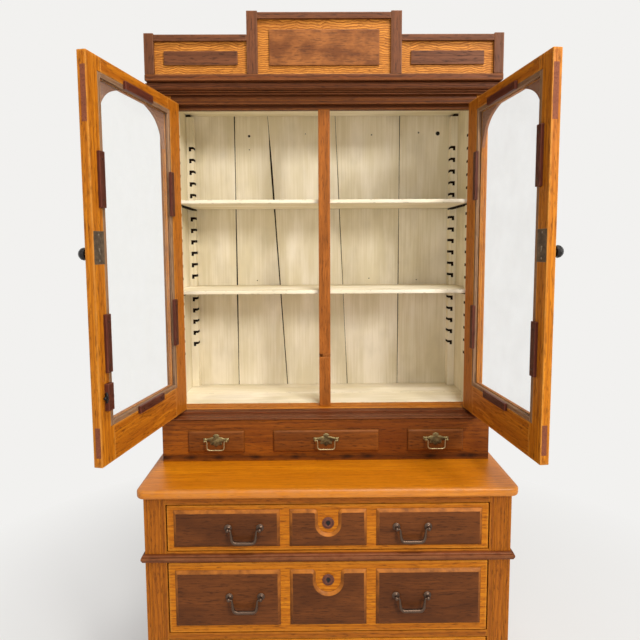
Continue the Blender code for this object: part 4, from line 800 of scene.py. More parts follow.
@dataclass
class Finishes:
    """Every finish on the cabinet, built once and handed out by name."""

    # Oak under an amber varnish: the eye gets orange-gold wood, brown pore lines and a soft gloss
    golden_oak = Timber("golden_oak_varnished", "#CE7E1A", "#9C520C", "#542604", "#DC9A44",
                        streaks=0.7, pores=0.65, pore_mm=2.2)
    # The same oak on the drawer fronts, stained deeper
    amber_oak = Timber("amber_oak_varnished", "#CE7E14", "#A05408", "#5C2C06", "#DC9430", streaks=0.7,
                       pores=0.7)
    # The oak of the chest's stiles and rails, browner again
    frame_oak = Timber("brown_oak_varnished", "#AE6210", "#80420A", "#4A2204", "#C47C24", streaks=0.65,
                       pores=0.7)
    # The chest's top: a yellower board with long streaks, rubbed pale along its round front edge
    top_oak = Timber("oak_top_varnished", "#EC9412", "#BA6806", "#743A06", "#C08048", contrast=0.45,
                     streaks=0.85, pores=0.35, drift=0.6, drift_mm=(900.0, 45.0), roughness=0.34, gloss=0.3)
    # Quarter-sawn oak of the centre post, brown with short flecks
    post_oak = Timber("quartered_oak_brown", "#AE6424", "#7C4414", "#482008", "#B87030", contrast=0.3,
                      drift=0.7, drift_mm=(60.0, 9.0))
    # Plain-sawn oak with little stain on the crest: pale wood with strong dark waves
    light_oak = Timber("light_oak_plain_sawn", "#E2963E", "#86460E", "#5C2E0A", "#E0A868", ring_mm=5.6,
                       wander_mm=20.0, wave_mm=46.0, contrast=0.95, streaks=0.5, pores=0.6, drift=0.3)
    # Unvarnished oak inside the drawers and the back
    raw_oak = Timber("raw_oak_sawn", "#B88A54", "#94683A", "#5E3E20", "#C9A274", roughness=0.7, contrast=0.5)
    # Dark walnut, oiled: brown with soft lines and dark pores
    walnut = Timber("dark_walnut_oiled", "#74452A", "#4E2C18", "#26130A", "#926040", ring_mm=7.0,
                    contrast=0.5, pores=0.75, pore_mm=2.4)
    # Walnut mouldings, a little redder, with rubbed lips
    lip_walnut = Timber("walnut_moulding_oiled", "#783C1C", "#4C2610", "#281006", "#A0663C", ring_mm=7.0,
                        contrast=0.5, rub=0.5)
    # Walnut of the cornice, with waves in its grain
    cornice_walnut = Timber("walnut_cornice_waved", "#7C421C", "#4A2610", "#200E05", "#985E32",
                            ring_mm=6.0, wander_mm=12.0, wave_mm=90.0, contrast=0.8)
    # Walnut of the case's head, dark red-brown, darkened further as painted shade from the cornice's overhang
    head_walnut = Timber("walnut_head_varnished", "#743C12", "#4C260E", "#220F05", "#9A5A24")
    # Walnut of the drawer fields, cloudy, with rubbed chamfers that are paler on top as painted highlight
    field_walnut = Timber("walnut_fielded", "#723E18", "#4E280E", "#2C1506", "#C07428", ring_mm=10.0,
                          contrast=0.3, streaks=0.4, drift=0.85, drift_mm=(110.0, 40.0), rub=0.9)
    # Burr wood of the crest's centre tablet, mottled like leather
    burr_walnut = Timber("burr_walnut_veneer", "#A06230", "#683A1C", "#3A1E0D", "#9A6234", contrast=0.1,
                         streaks=0.2, drift=0.9, drift_mm=(30.0, 24.0))
    # Brackets in the doors' arches: pale walnut, lightened further as painted light since they sit in shade
    # behind the glass
    bracket_walnut = Timber("walnut_bracket_painted_light", "#A87250", "#7C4C34", "#4A2A1C", "#B88464", contrast=0.4)
    # Strips nailed over the glass, red-brown and dark
    dark_strip = Timber("stained_strip_dark", "#5E2C1E", "#421E15", "#220E09", "#7E4A38", contrast=0.4)
    # Softwood with a red-brown stain, a row of dark knots and a dark band along the board's foot
    stained_pine = Timber("pine_red_brown_stain", "#9C5612", "#66300A", "#240F05", "#A86028", ring_mm=14.0,
                          wander_mm=20.0, contrast=0.55, drift=0.8, drift_mm=(220.0, 70.0), knot_and_band_level=0.7825)
    # The small drawers' fronts, the same wood stained browner
    drawer_pine = Timber("pine_brown_stain", "#8C4E18", "#5C2E0C", "#2A1306", "#9A5E2C", ring_mm=11.0,
                         contrast=0.45, drift=0.6, drift_mm=(160.0, 50.0), rub=0.35)
    # End grain of the tenons, dark with old glue and varnish
    end_grain = Timber("oak_end_grain", "#8C5036", "#6E3C28", "#4A261A", "#9A6040", ring_mm=4.0,
                       wander_mm=4.0, contrast=0.3, roughness=0.55)
    # Near-black wood as painted shade: deep in the notches, in the back's seams and on the shelf cleats
    walnut_shadow = Timber("near_black_painted_shade", "#20140E", "#160D09", "#0C0705", "#2C1C12", roughness=0.85)
    # Strips of wood and old putty that hold the glass
    grey_strip = Timber("weathered_strip", "#9C7656", "#74543C", "#403024", "#AE9274", roughness=0.65)
    # Milk paint brushed on softwood: matt warm cream with greyer streaks, bare wood where it is knocked
    cream_paint = MilkPaint("cream_milk_paint", "#F9EFD9", "#E6DABA", "#8C7E5C")
    # Stamped brass of the winged plates, grimed: dull olive yellow, nearly black in its hollows
    plate_brass = CastMetal("plate_brass_grimed", "#8E7C52", "#4C3E26", "#1C140C", 0.45, 0.8)
    # Cast brass of the small bails and the hinges, a paler grey-yellow with soft shine
    aged_brass = CastMetal("aged_brass_cast", "#A8966E", "#62553A", "#221A10", 0.4, 0.85)
    # Cast bronze of the large pulls under a brown patina: dark, with warm glints where hands rub it
    dark_bronze = CastMetal("dark_bronze_cast", "#5E4A3C", "#261D18", "#100C0A", 0.38, 0.85)
    # Turned copper-red bronze of the key plates, darkened round its rings
    plate_bronze = CastMetal("red_bronze_turned", "#6E4030", "#45281E", "#180E0A", 0.42, 0.6)
    # Japanned iron of knobs, nails and the bolt: black with small sharp highlights
    black_iron = CastMetal("black_iron_japanned", "#242120", "#100E0D", "#060505", 0.3, 0.4)
    # Sheet steel of the lock plates, browned by rust in wide blotches
    lock_steel = CastMetal("lock_steel_rusted", "#86745E", "#5A4C3E", "#241A12", 0.5, 0.6, 9.0)
    # Worn steel of the locks' keyholes and screws, bright pale grey
    pale_steel = CastMetal("screw_steel_worn", "#D0C8BC", "#8C8274", "#3A3028", 0.35, 0.9)
    # Drawn soda-lime glass: nearly unseen, with a faint green tint, a slow ripple and a film of dust
    clear_glass = OldGlass("drawn_window_glass", "#DCE4DC")
    made: dict[str, bpy.types.Material] = field(default_factory=dict)

    def __getitem__(self, name: str) -> bpy.types.Material:
        """The material of that name, built the first time it is asked for."""
        if name not in self.made:
            self.made[name] = getattr(self, name).build()
        return self.made[name]


FINISHES = Finishes()


def show(name: str, surface: Surface, finish: str, node: str, body: str = CABINET,
         sharp: float = 50.0) -> bpy.types.Object:
    """Put a surface into the scene as one piece that rides on a body.

    Args:
        name: The piece's name.
        surface: Its surface.
        finish: Its finish's name.
        node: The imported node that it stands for.
        body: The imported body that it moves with.
        sharp: The angle in degrees above which an edge stays crisp.

    Returns:
        The object, at the origin, with its place in its mesh.
    """
    mesh = bpy.data.meshes.new(name)
    sizes = np.concatenate([np.full(len(rows), rows.shape[1]) for rows in surface.faces])
    corners = np.concatenate([rows.reshape(-1) for rows in surface.faces])
    mesh.vertices.add(len(surface.points))
    mesh.vertices.foreach_set("co", surface.points.astype(np.float32).reshape(-1))
    mesh.loops.add(len(corners))
    mesh.loops.foreach_set("vertex_index", corners.astype(np.int32))
    mesh.polygons.add(len(sizes))
    mesh.polygons.foreach_set("loop_start", np.concatenate([[0], np.cumsum(sizes)[:-1]]).astype(np.int32))
    mesh.update(calc_edges=True)
    mesh.validate()
    mesh.attributes.new("grain", "FLOAT_VECTOR", "POINT").data.foreach_set(
        "vector", surface.grain.astype(np.float32).reshape(-1))
    mesh.attributes.new("worn", "FLOAT", "POINT").data.foreach_set("value", surface.worn.astype(np.float32))
    work = bmesh.new()
    work.from_mesh(mesh)
    loose = [vert for vert in work.verts if not vert.link_faces]
    bmesh.ops.delete(work, geom=loose, context="VERTS")
    bmesh.ops.recalc_face_normals(work, faces=work.faces[:])
    work.to_mesh(mesh)
    work.free()
    mesh.shade_smooth()
    mesh.set_sharp_from_angle(angle=math.radians(sharp))
    mesh.materials.append(FINISHES[finish])
    piece = bpy.data.objects.new(name, mesh)
    bpy.context.scene.collection.objects.link(piece)
    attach(piece, body)
    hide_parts(node)
    log.info("%s: %d faces on %s", name, len(mesh.polygons), body)
    return piece


# The chest of drawers


def both_sides(parts: Sequence[Surface]) -> list[Surface]:
    """The given right-hand surfaces and their mirror images."""
    return list(parts) + [part.flipped() for part in parts]


def three_sides(half: float, front: float) -> list[Pair]:
    """A path on the plan from the back along the left side, the front and the right side."""
    return [(-half, CHEST_DEPTH), (-half, front), (half, front), (half, CHEST_DEPTH)]


def arc(centre: Pair, radius: float, start: float, end: float, steps: int) -> np.ndarray:
    """Points on a round arc from one angle to another, in degrees, both ends kept."""
    turn = np.radians(np.linspace(start, end, steps))
    return np.stack([centre[0] + radius * np.cos(turn), centre[1] + radius * np.sin(turn)], 1)


@dataclass
class Chest:
    """The chest that stands on the floor: top, carcass, bead and plinth."""

    half: float = 0.5035
    opening: float = 0.444
    stile_thick: float = 0.026
    side_thick: float = 0.018
    member: float = 0.070
    base: float = 0.0983
    under_top: float = 0.745
    rail_deep: float = 0.060
    top_rail: float = 0.022
    slit: float = 0.0028
    drawers: tuple[Pair, ...] = ((0.589, 0.134), (0.351, 0.208), (0.124, 0.208))
    rails: tuple[float, ...] = (0.030, 0.019, 0.026)
    grooves: tuple[float, ...] = (0.014, 0.0455)
    groove_half: float = 0.0013
    groove_deep: float = 0.0016
    overhang: float = 0.0175
    corner: float = 0.025
    top_round: float = 0.007
    back_thick: float = 0.012
    plank_gap_half: float = 0.0004
    panel_in: float = 0.005
    panel_thick: float = 0.008
    runner_wide: float = 0.08
    guide_tall: float = 0.020
    bead_z: float = 0.5716
    bead_half: float = 0.012
    bead_out: float = 0.0095
    hollow_at: float = 30.0
    hollow_spread: float = 5.5
    hollow_share: float = 0.16
    skirt_out: float = 0.008
    skirt_in: float = 0.014
    chamfer: float = 0.006
    rear_thick: float = 0.022

    def top_board(self) -> Surface:
        """The top: its outline with round front corners, drawn in along a quarter circle above and below."""
        half, front = self.half + self.overhang, -self.overhang
        radius = self.corner
        outline = np.concatenate([
            [(half, CHEST_DEPTH), (-half, CHEST_DEPTH)],
            arc((-half + radius, front + radius), radius, 180, 270, 9),
            arc((half - radius, front + radius), radius, 270, 360, 9)])
        low, high = self.under_top + GLUE, CHEST_TOP_Z
        ease = self.top_round
        turns = np.radians([90, 67, 45, 22, 0])
        lower = [(ease * (1 - math.cos(t)), low + ease * (1 - math.sin(t))) for t in turns]
        upper = [(inset, high + low - level) for inset, level in reversed(lower)]
        steps = [(0.02, low)] + lower + upper + [(0.016, high)]
        rub = [0, 0, 0.2, 0.3, 0.4, 0.6, 0.6, 0.9, 1.0, 0.9, 0.6, 0.0]
        return raised(outline, steps, rub, UP, ACROSS)

    def stile(self) -> Surface:
        """The right-hand stile: a section with two incised lines in its front face, carried up."""
        x, deep = self.opening, self.groove_deep
        corners: list[Pair] = [(x, 0.0)]
        for inset in self.grooves:
            middle = x + inset
            corners += [(middle - self.groove_half, 0.0), (middle, deep), (middle + self.groove_half, 0.0)]
        corners += [(self.half, 0.0), (self.half, self.stile_thick), (x, self.stile_thick)]
        return milled(corners, (self.base, self.under_top), UP, 0.0006, 0.004, cut=Cut.RIFT)

    def side(self) -> list[Surface]:
        """The right-hand side frame: two uprights, two rails and a panel let in between them."""
        inner = self.half - self.side_thick
        first, last = self.stile_thick + self.member, CHEST_DEPTH - self.member
        low, high, panel = self.base, self.under_top, self.half - self.panel_in
        return [board((inner, self.stile_thick, low), (self.half, first, high), UP, cut=Cut.RIFT),
                board((inner, last, low), (self.half, CHEST_DEPTH, high), UP, cut=Cut.RIFT),
                board((inner, first, high - self.member), (self.half, last, high), DEEP),
                board((inner, first, low), (self.half, last, low + self.member), DEEP),
                board((panel - self.panel_thick, first, low + self.member),
                      (panel, last, high - self.member), UP)]

    def inside(self) -> list[Surface]:
        """Rails across the front, and the runners and guides that the drawers slide on."""
        back, deep, opening = CHEST_DEPTH - self.back_thick, self.rail_deep, self.opening
        inner = self.half - self.side_thick
        rails = [board((-opening, 0, self.under_top - self.top_rail),
                       (opening, deep, self.under_top - self.slit), ACROSS)]
        runners = []
        for (base, _), rail in zip(self.drawers, self.rails):
            rails.append(board((-opening, 0, base - rail), (opening, deep, base), ACROSS))
            runners.append(board((inner - self.runner_wide, deep, base - rail), (inner, back, base), DEEP))
            runners.append(board((opening + GLUE, deep, base), (inner, back, base + self.guide_tall), DEEP))
        return rails + both_sides(runners)

    def back(self) -> list[Surface]:
        """Five upright boards across the back."""
        inner = self.half - self.side_thick
        edges, gap, near = np.linspace(-inner, inner, 6), self.plank_gap_half, CHEST_DEPTH - self.back_thick
        return [board((left + gap, near, self.base), (right - gap, CHEST_DEPTH, self.under_top), UP)
                for left, right in zip(edges, edges[1:])]

    def bead(self) -> Surface:
        """The reeded half-round moulding: a half circle whose radius dips at two narrow hollows."""
        turn = np.radians(np.linspace(-90, 90, 25))
        hollow = np.exp(-((np.abs(np.degrees(turn)) - self.hollow_at) / self.hollow_spread) ** 2)
        reach = 1 - self.hollow_share * hollow
        profile = np.stack([GLUE + self.bead_out * reach * np.cos(turn),
                            self.bead_z + self.bead_half * reach * np.sin(turn)], 1)
        return run_round(profile, 0.9 * (1 - hollow) * np.cos(turn), three_sides(self.half, 0))

    def plinth(self) -> list[Surface]:
        """The skirting: a chamfered board mitred round the front and sides, with a plain board behind."""
        top, inner, outer, half = self.base - GLUE, self.skirt_in, self.skirt_out, self.half
        corners = [(-inner, 0), (outer, 0), (outer, top - self.chamfer), (outer - self.chamfer, top),
                   (-inner, top)]
        skirt = moulded(corners, 0.0015, 0.004, three_sides(half, 0), Cut.PLAIN)
        rear = board((-half + inner, CHEST_DEPTH - self.rear_thick, 0.0), (half - inner, CHEST_DEPTH, top),
                     ACROSS)
        return [skirt, rear]

    def dress(self) -> None:
        """Show every piece of the chest."""
        show("chest_top_board", self.top_board(), "top_oak", "chest_top")
        frame_parts = both_sides([self.stile()] + self.side()) + self.inside()
        show("chest_frame_and_rails", joined(frame_parts), "frame_oak", "chest_carcass")
        show("chest_back_planks", joined(self.back()), "raw_oak", "chest_carcass")
        show("chest_reeded_bead", self.bead(), "lip_walnut", "bead_moulding")
        show("chest_plinth_boards", joined(self.plinth()), "amber_oak", "plinth")


@dataclass
class Pull:
    """A bail pull: two turned posts with ball eyes, and a hanging bail."""

    spacing: float
    reach: float
    wire: float
    drop: float
    rosette: float
    ball: float
    waist: float = 0.71
    belly: float = 1.8

    def post(self, place: Triple) -> Surface:
        """One post: rosette with a rolled rim, a waisted neck and a ball, as a profile turned forward."""
        rim, tall = self.rosette, self.reach
        turn = np.radians(np.linspace(-62, 78, 9))
        ball = np.stack([self.ball * np.cos(turn), tall + self.ball * np.sin(turn)], 1)
        profile = np.concatenate([
            [(rim * 0.6, 0.0), (rim, 0.0), (rim, 0.0010), (rim * 0.93, 0.0018), (rim * 0.72, 0.0021),
             (rim * 0.66, 0.0030), (rim * 0.40, 0.0038), (self.ball * 0.52, tall * 0.45)], ball])
        rub = [0, 0.2, 0.9, 0.9, 0.1, 0.8, 0.2, 0.1] + list(0.5 + 0.5 * np.sin(turn))
        return turned(profile, place, 22, rub)

    def bail(self, middle: Triple) -> Surface:
        """The bail: a line from eye to eye with swan-necked arms, drawn as a rod that thickens downwards."""
        x, y, z = middle
        half, waist, low = self.spacing / 2, self.spacing / 2 * self.waist, z - self.drop
        inner = half - self.ball - self.wire * 0.9
        right = [(half + self.wire * 0.6, y, z), (inner, y, z),
                 (inner - self.wire * 0.4, y, z - self.drop * 0.27), (waist, y, low + self.wire)]
        left = [(-px, py, pz) for px, py, pz in reversed(right)]
        line = smooth_line(right + left, self.drop * 0.36, 7)
        share = np.clip((z - line[:, 2]) / self.drop, 0, 1)
        radii = self.wire * (0.85 + (self.belly - 0.85) * share ** 1.5)
        return rod(line, radii).shifted((x, 0, 0))


@dataclass
class LargeDrawer:
    """A long drawer: oak front, three fielded walnut panels, a key plate, two bail pulls and its box."""

    name: str
    base: float
    height: float
    margin: float
    dip: float
    pull_drop: float
    half: float = 0.4425
    gap: float = 0.0012
    reveal: float = 0.0018
    front_thick: float = 0.034
    box_back: float = 0.534
    box_top_drop: float = 0.008
    wall: float = 0.012
    bottom: float = 0.006
    panel_outer: float = 0.4225
    panel_inner: float = 0.132
    panel_middle: float = 0.106
    dip_drop: float = 0.053
    flare: float = 0.012
    rise: float = 0.008
    plate_radius: float = 0.0165
    plate_thick: float = 0.003
    plate_cut_share: float = 0.7
    keyhole_radius: float = 0.0056
    keyhole_drop: float = 0.0105
    keyhole_half: float = 0.0022
    pull_x: float = 0.2295
    pull: Pull = field(default_factory=lambda: Pull(0.087, 0.014, 0.003, 0.040, 0.0105, 0.0056))

    @property
    def low(self) -> float:
        """Lower edge of the front."""
        return self.base + self.gap

    @property
    def high(self) -> float:
        """Upper edge of the front."""
        return self.base + self.height - self.gap

    def front(self) -> Surface:
        """The front board, a shade smaller than its opening, so that the gap round it shows dark."""
        half, low, high = self.half - self.reveal, self.low + self.reveal, self.high - self.reveal
        return board((-half, 0, low), (half, self.front_thick, high), ACROSS, 0.0015)

    def box(self) -> Surface:
        """Two sides, a back and a bottom behind the front."""
        top, low, near, far = self.high - self.box_top_drop, self.base + GLUE, self.front_thick, self.box_back
        half, wall = self.half, self.wall
        return joined(both_sides([board((half - wall, near, low), (half, far, top), DEEP)]) + [
            board((-half + wall, far - wall, low), (half - wall, far, top), ACROSS),
            board((-half + wall, near, low), (half - wall, far - wall, low + self.bottom), ACROSS)])

    def middle_outline(self, inset: float) -> np.ndarray:
        """The middle panel's outline, drawn in: a rectangle whose upper edge dips in a round bay."""
        half, margin = self.panel_middle - inset, self.margin + inset
        low, high = self.low + margin, self.high - margin
        radius, centre, flare = self.dip + inset, self.high - self.dip_drop, max(self.flare - inset, 0.0008)
        return np.concatenate([
            [(-half, low), (half, low), (half, high)],
            arc((radius + flare, high - flare), flare, 90, 180, 6),
            arc((0, centre), radius, 0, -180, 25),
            arc((-radius - flare, high - flare), flare, 0, 90, 6),
            [(-half, high)]])

    def fields(self) -> Surface:
        """The three fields: straight out of the face, chamfered to their raised flats."""
        rise = self.rise
        steps = [(0.0, 0.002), (0.0, -0.0006), (0.0008, -0.0012), (rise - 0.0006, -rise + 0.0004),
                 (rise + 0.0004, -rise), (rise + 0.004, -rise)]
        rub = [0, 0.3, 1.0, 1.0, 0.0, 0.0]
        low, high = self.low + self.margin, self.high - self.margin
        side = np.array([(self.panel_inner, low), (self.panel_outer, low), (self.panel_outer, high),
                         (self.panel_inner, high)])
        right, left = (raised(side * (sign, 1), steps, rub, DEEP, ACROSS, 0.0006) for sign in (1, -1))
        loops = [self.middle_outline(inset) for inset, _ in steps]
        # The upper chamfers get more of the rubbed colour: painted highlight from above
        middle = stacked(loops, [level for _, level in steps], np.outer(rub, top_lit_share(loops)), DEEP, ACROSS)
        return joined([left, middle, right])

    def escutcheon(self) -> Surface:
        """The key plate: a flat ring round a raised inner ring."""
        radius, thick = self.plate_radius, self.plate_thick
        profile = [(radius * 0.5, 0.0), (radius, 0.0), (radius, thick * 0.5), (radius * 0.9, thick * 0.8),
                   (radius * 0.72, thick * 0.75), (radius * 0.66, thick), (radius * 0.5, thick),
                   (radius * 0.44, thick * 0.7), (radius * 0.2, thick * 0.7)]
        return turned(profile, (0, -GLUE, self.high - self.dip_drop), 32,
                      [0, 0.2, 0.6, 0.4, 0.1, 0.9, 0.9, 0.2, 0])

    def keyhole(self) -> Surface:
        """The dark keyhole: a round head and a slot, standing a hair above the plate."""
        z, face = self.high - self.dip_drop, -GLUE - self.plate_thick * self.plate_cut_share
        half, foot = self.keyhole_half, z - self.keyhole_drop
        outline = np.concatenate([arc((0, z + 0.001), self.keyhole_radius, -60, 240, 15),
                                  [(-half, foot), (half, foot)]])
        return raised(outline, [(0, face + 0.0004), (0, face - 0.0002), (0.0004, face - 0.0003)], [0, 0, 0],
                      DEEP, UP)

    def dress(self) -> None:
        """Show every piece of the drawer."""
        name = self.name
        front_node = f"{name}_front_and_box"
        show(f"{name}_front_board", self.front(), "amber_oak", front_node, name)
        show(f"{name}_box_boards", self.box(), "raw_oak", front_node, name)
        show(f"{name}_walnut_fields", self.fields(), "field_walnut", f"{name}_panel_board", name)
        show(f"{name}_key_plate", self.escutcheon(), "plate_bronze", f"{name}_escutcheon", name)
        show(f"{name}_keyhole", self.keyhole(), "black_iron", f"{name}_escutcheon", name)
        face, z = -self.rise - GLUE, self.high - self.pull_drop
        for side in Side:
            word, x = side.name.lower(), side.value * self.pull_x
            posts = [self.pull.post((x + shift * self.pull.spacing / 2, face, z)) for shift in (-1, 1)]
            show(f"{name}_eye_posts_{word}", joined(posts), "dark_bronze", f"{name}_pull_posts_{word}", name)
            show(f"{name}_swan_bail_{word}", self.pull.bail((x, face - self.pull.reach, z)), "dark_bronze",
                 f"{name}_bail_{word}", f"{name}_bail_{word}")


# The waist


@dataclass
class Waist:
    """The low case between the chest and the upper case: pierced front, carcass and moulding."""

    thick: float = 0.020
    low: float = 0.7703
    high: float = 0.898
    middles: tuple[float, ...] = (-0.3335, 0.0, 0.3335)
    widths: tuple[float, ...] = (0.170, 0.321, 0.170)
    lip: float = 0.006
    hole_low: float = 0.806
    hole_high: float = 0.861
    side: float = 0.018
    slab: float = 0.012
    divider: float = 0.016
    mould_rise: float = 0.014
    edge: float = 0.0012

    def front(self) -> Surface:
        """The front board with three square holes."""
        cuts = [-CASE_HALF]
        for middle, width in zip(self.middles, self.widths):
            cuts += [middle - width / 2 + self.lip, middle + width / 2 - self.lip]
        cuts.append(CASE_HALF)
        return pierced(cuts, [self.low, self.hole_low, self.hole_high, self.high], [(1, 1), (3, 1), (5, 1)],
                       (WAIST_FRONT, WAIST_FRONT + self.thick))

    def carcass(self) -> Surface:
        """Sides, deck, dividers, top board and back."""
        front, back = WAIST_FRONT + self.thick + GLUE, CHEST_DEPTH
        inner = CASE_HALF - self.side
        small, wide = self.widths[0] / 2 - self.lip, self.widths[1] / 2 - self.lip
        between = (wide + self.middles[2] - small) / 2
        spacer = self.middles[2] + small + GLUE
        near = back - self.slab
        right = [
            board((inner, front, self.low), (CASE_HALF, back, self.high), DEEP, cut=Cut.RIFT),
            board((between - self.divider / 2, front, self.hole_low),
                  (between + self.divider / 2, near, self.high - self.slab), DEEP),
            board((spacer, front, self.hole_low), (inner, near, self.high - self.slab), DEEP)]
        return joined(both_sides(right) + [
            board((-inner, front, self.hole_low - self.slab), (inner, near, self.hole_low), ACROSS),
            board((-inner, front, self.high - self.slab), (inner, near, self.high), ACROSS),
            board((-inner, near, self.low), (inner, back, self.high), ACROSS)])

    def moulding(self) -> Surface:
        """The two-step moulding from the front board's edge back to the upper case."""
        base, rise, back = self.high + GLUE, self.mould_rise, CASE_FRONT - GLUE - WAIST_FRONT
        step = back * 0.66
        corners = [(-back, base), (-0.004, base), (-0.004, base + 0.0024), (0.006, base + 0.0024),
                   (0.006, base + rise * 0.38), (0.002, base + rise * 0.44), (-0.017, base + rise * 0.47),
                   (-0.0185, base + rise * 0.33), (-0.020, base + rise * 0.48), (-step, base + rise * 0.52),
                   (-step, base + rise * 0.80), (-back + 0.002, base + rise * 0.94),
                   (-back, base + rise * 0.86)]
        return moulded(corners, 0.0007, 0.003, [(-CASE_HALF, WAIST_FRONT), (CASE_HALF, WAIST_FRONT)])

    def dress(self) -> None:
        """Show every piece of the waist."""
        front = show("waist_pierced_board", self.front(), "stained_pine", "waist_front")
        ease = front.modifiers.new("eased_edges", "BEVEL")
        ease.width, ease.segments, ease.limit_method = self.edge, 2, "ANGLE"
        show("waist_case_boards", self.carcass(), "amber_oak", "waist_carcass")
        show("waist_stepped_moulding", self.moulding(), "lip_walnut", "waist_moulding")


@dataclass
class SmallDrawer:
    """A small lipped drawer with a winged plate and a bail."""

    name: str
    middle: float
    width: float
    low: float = 0.800
    high: float = 0.867
    lip: float = 0.006
    proud: float = 0.008
    depth: float = 0.300
    wall: float = 0.009
    bottom: float = 0.004
    play: float = 0.00075
    roll_in: float = 0.0070
    edge_thick: float = 0.0025
    flat_in: float = 0.014
    plate_thick: float = 0.002
    plate_drop: float = 0.027
    pull: Pull = field(default_factory=lambda: Pull(0.065, 0.012, 0.002, 0.030, 0.006, 0.0042, 0.80, 1.1))

    def front(self) -> Surface:
        """The lipped front, rolled over from its edge along a quarter ellipse."""
        half, edge, back = self.width / 2, self.edge_thick, WAIST_FRONT
        corners = [(-half, self.low), (half, self.low), (half, self.high), (-half, self.high)]
        roll = [(self.roll_in * (1 - math.cos(t)), back - edge - (self.proud - edge) * math.sin(t))
                for t in np.radians(np.linspace(0, 90, 6))]
        steps = [(0.0, back - GLUE)] + roll + [(self.flat_in, back - self.proud)]
        rub = [0, 0.2, 0.5, 0.8, 0.9, 0.7, 0.3, 0]
        return raised(corners, steps, rub, DEEP, ACROSS, 0.003).shifted((self.middle, 0, 0))

    def box(self) -> Surface:
        """The box behind the lip."""
        half, play, wall = self.width / 2 - self.lip, self.play, self.wall
        left, right, low = self.middle - half + play, self.middle + half - play, self.low + self.lip + GLUE
        top, near, far = self.high - self.lip - play, WAIST_FRONT, WAIST_FRONT + self.depth
        return joined([
            board((left, near, low), (right, near + wall, top), ACROSS),
            board((left, far - wall, low), (right, far, top), ACROSS),
            board((left, near + wall, low), (left + wall, far - wall, top), DEEP),
            board((right - wall, near + wall, low), (right, far - wall, top), DEEP),
            board((left + wall, near + wall, low), (right - wall, far - wall, low + self.bottom), ACROSS)])

    def plate(self) -> Surface:
        """The winged plate: a hump above, a drop below and a wing out to each post, with a bevelled rim."""
        z, wing = self.high - self.plate_drop, self.pull.spacing / 2 + self.pull.rosette
        right = [(0.0, -0.0220), (0.004, -0.0185), (0.009, -0.0150), (0.013, -0.0165), (0.019, -0.0135),
                 (0.0165, -0.0085), (0.022, -0.0045), (wing, -0.0055), (wing, 0.0055), (0.024, 0.0050),
                 (0.0145, 0.0085), (0.0085, 0.0080), (0.0100, 0.0130), (0.006, 0.0170), (0.0, 0.0185)]
        corners = right + [(-x, level) for x, level in reversed(right[1:-1])]
        face = WAIST_FRONT - self.proud - GLUE
        steps = [(0.0, face), (0.0, face - 0.0008), (0.0010, face - 0.0017),
                 (0.0018, face - self.plate_thick)]
        return raised(corners, steps, [0, 0.6, 1.0, 0.2], DEEP, ACROSS, 0.0014).shifted((self.middle, 0, z))

    def dress(self) -> None:
        """Show every piece of the drawer."""
        name = self.name
        show(f"{name}_lipped_front", self.front(), "drawer_pine", name, name)
        show(f"{name}_box_boards", self.box(), "raw_oak", name, name)
        face, z = WAIST_FRONT - self.proud - GLUE - self.plate_thick / 2, self.high - self.plate_drop
        spread = self.pull.spacing / 2
        posts = [self.pull.post((self.middle + shift * spread, face, z)) for shift in (-1, 1)]
        show(f"{name}_winged_plate", joined([self.plate()] + posts), "plate_brass", f"{name}_pull_plate",
             name)
        show(f"{name}_small_bail", self.pull.bail((self.middle, face - self.pull.reach, z)), "aged_brass",
             f"{name}_bail", f"{name}_bail")


# The upper case


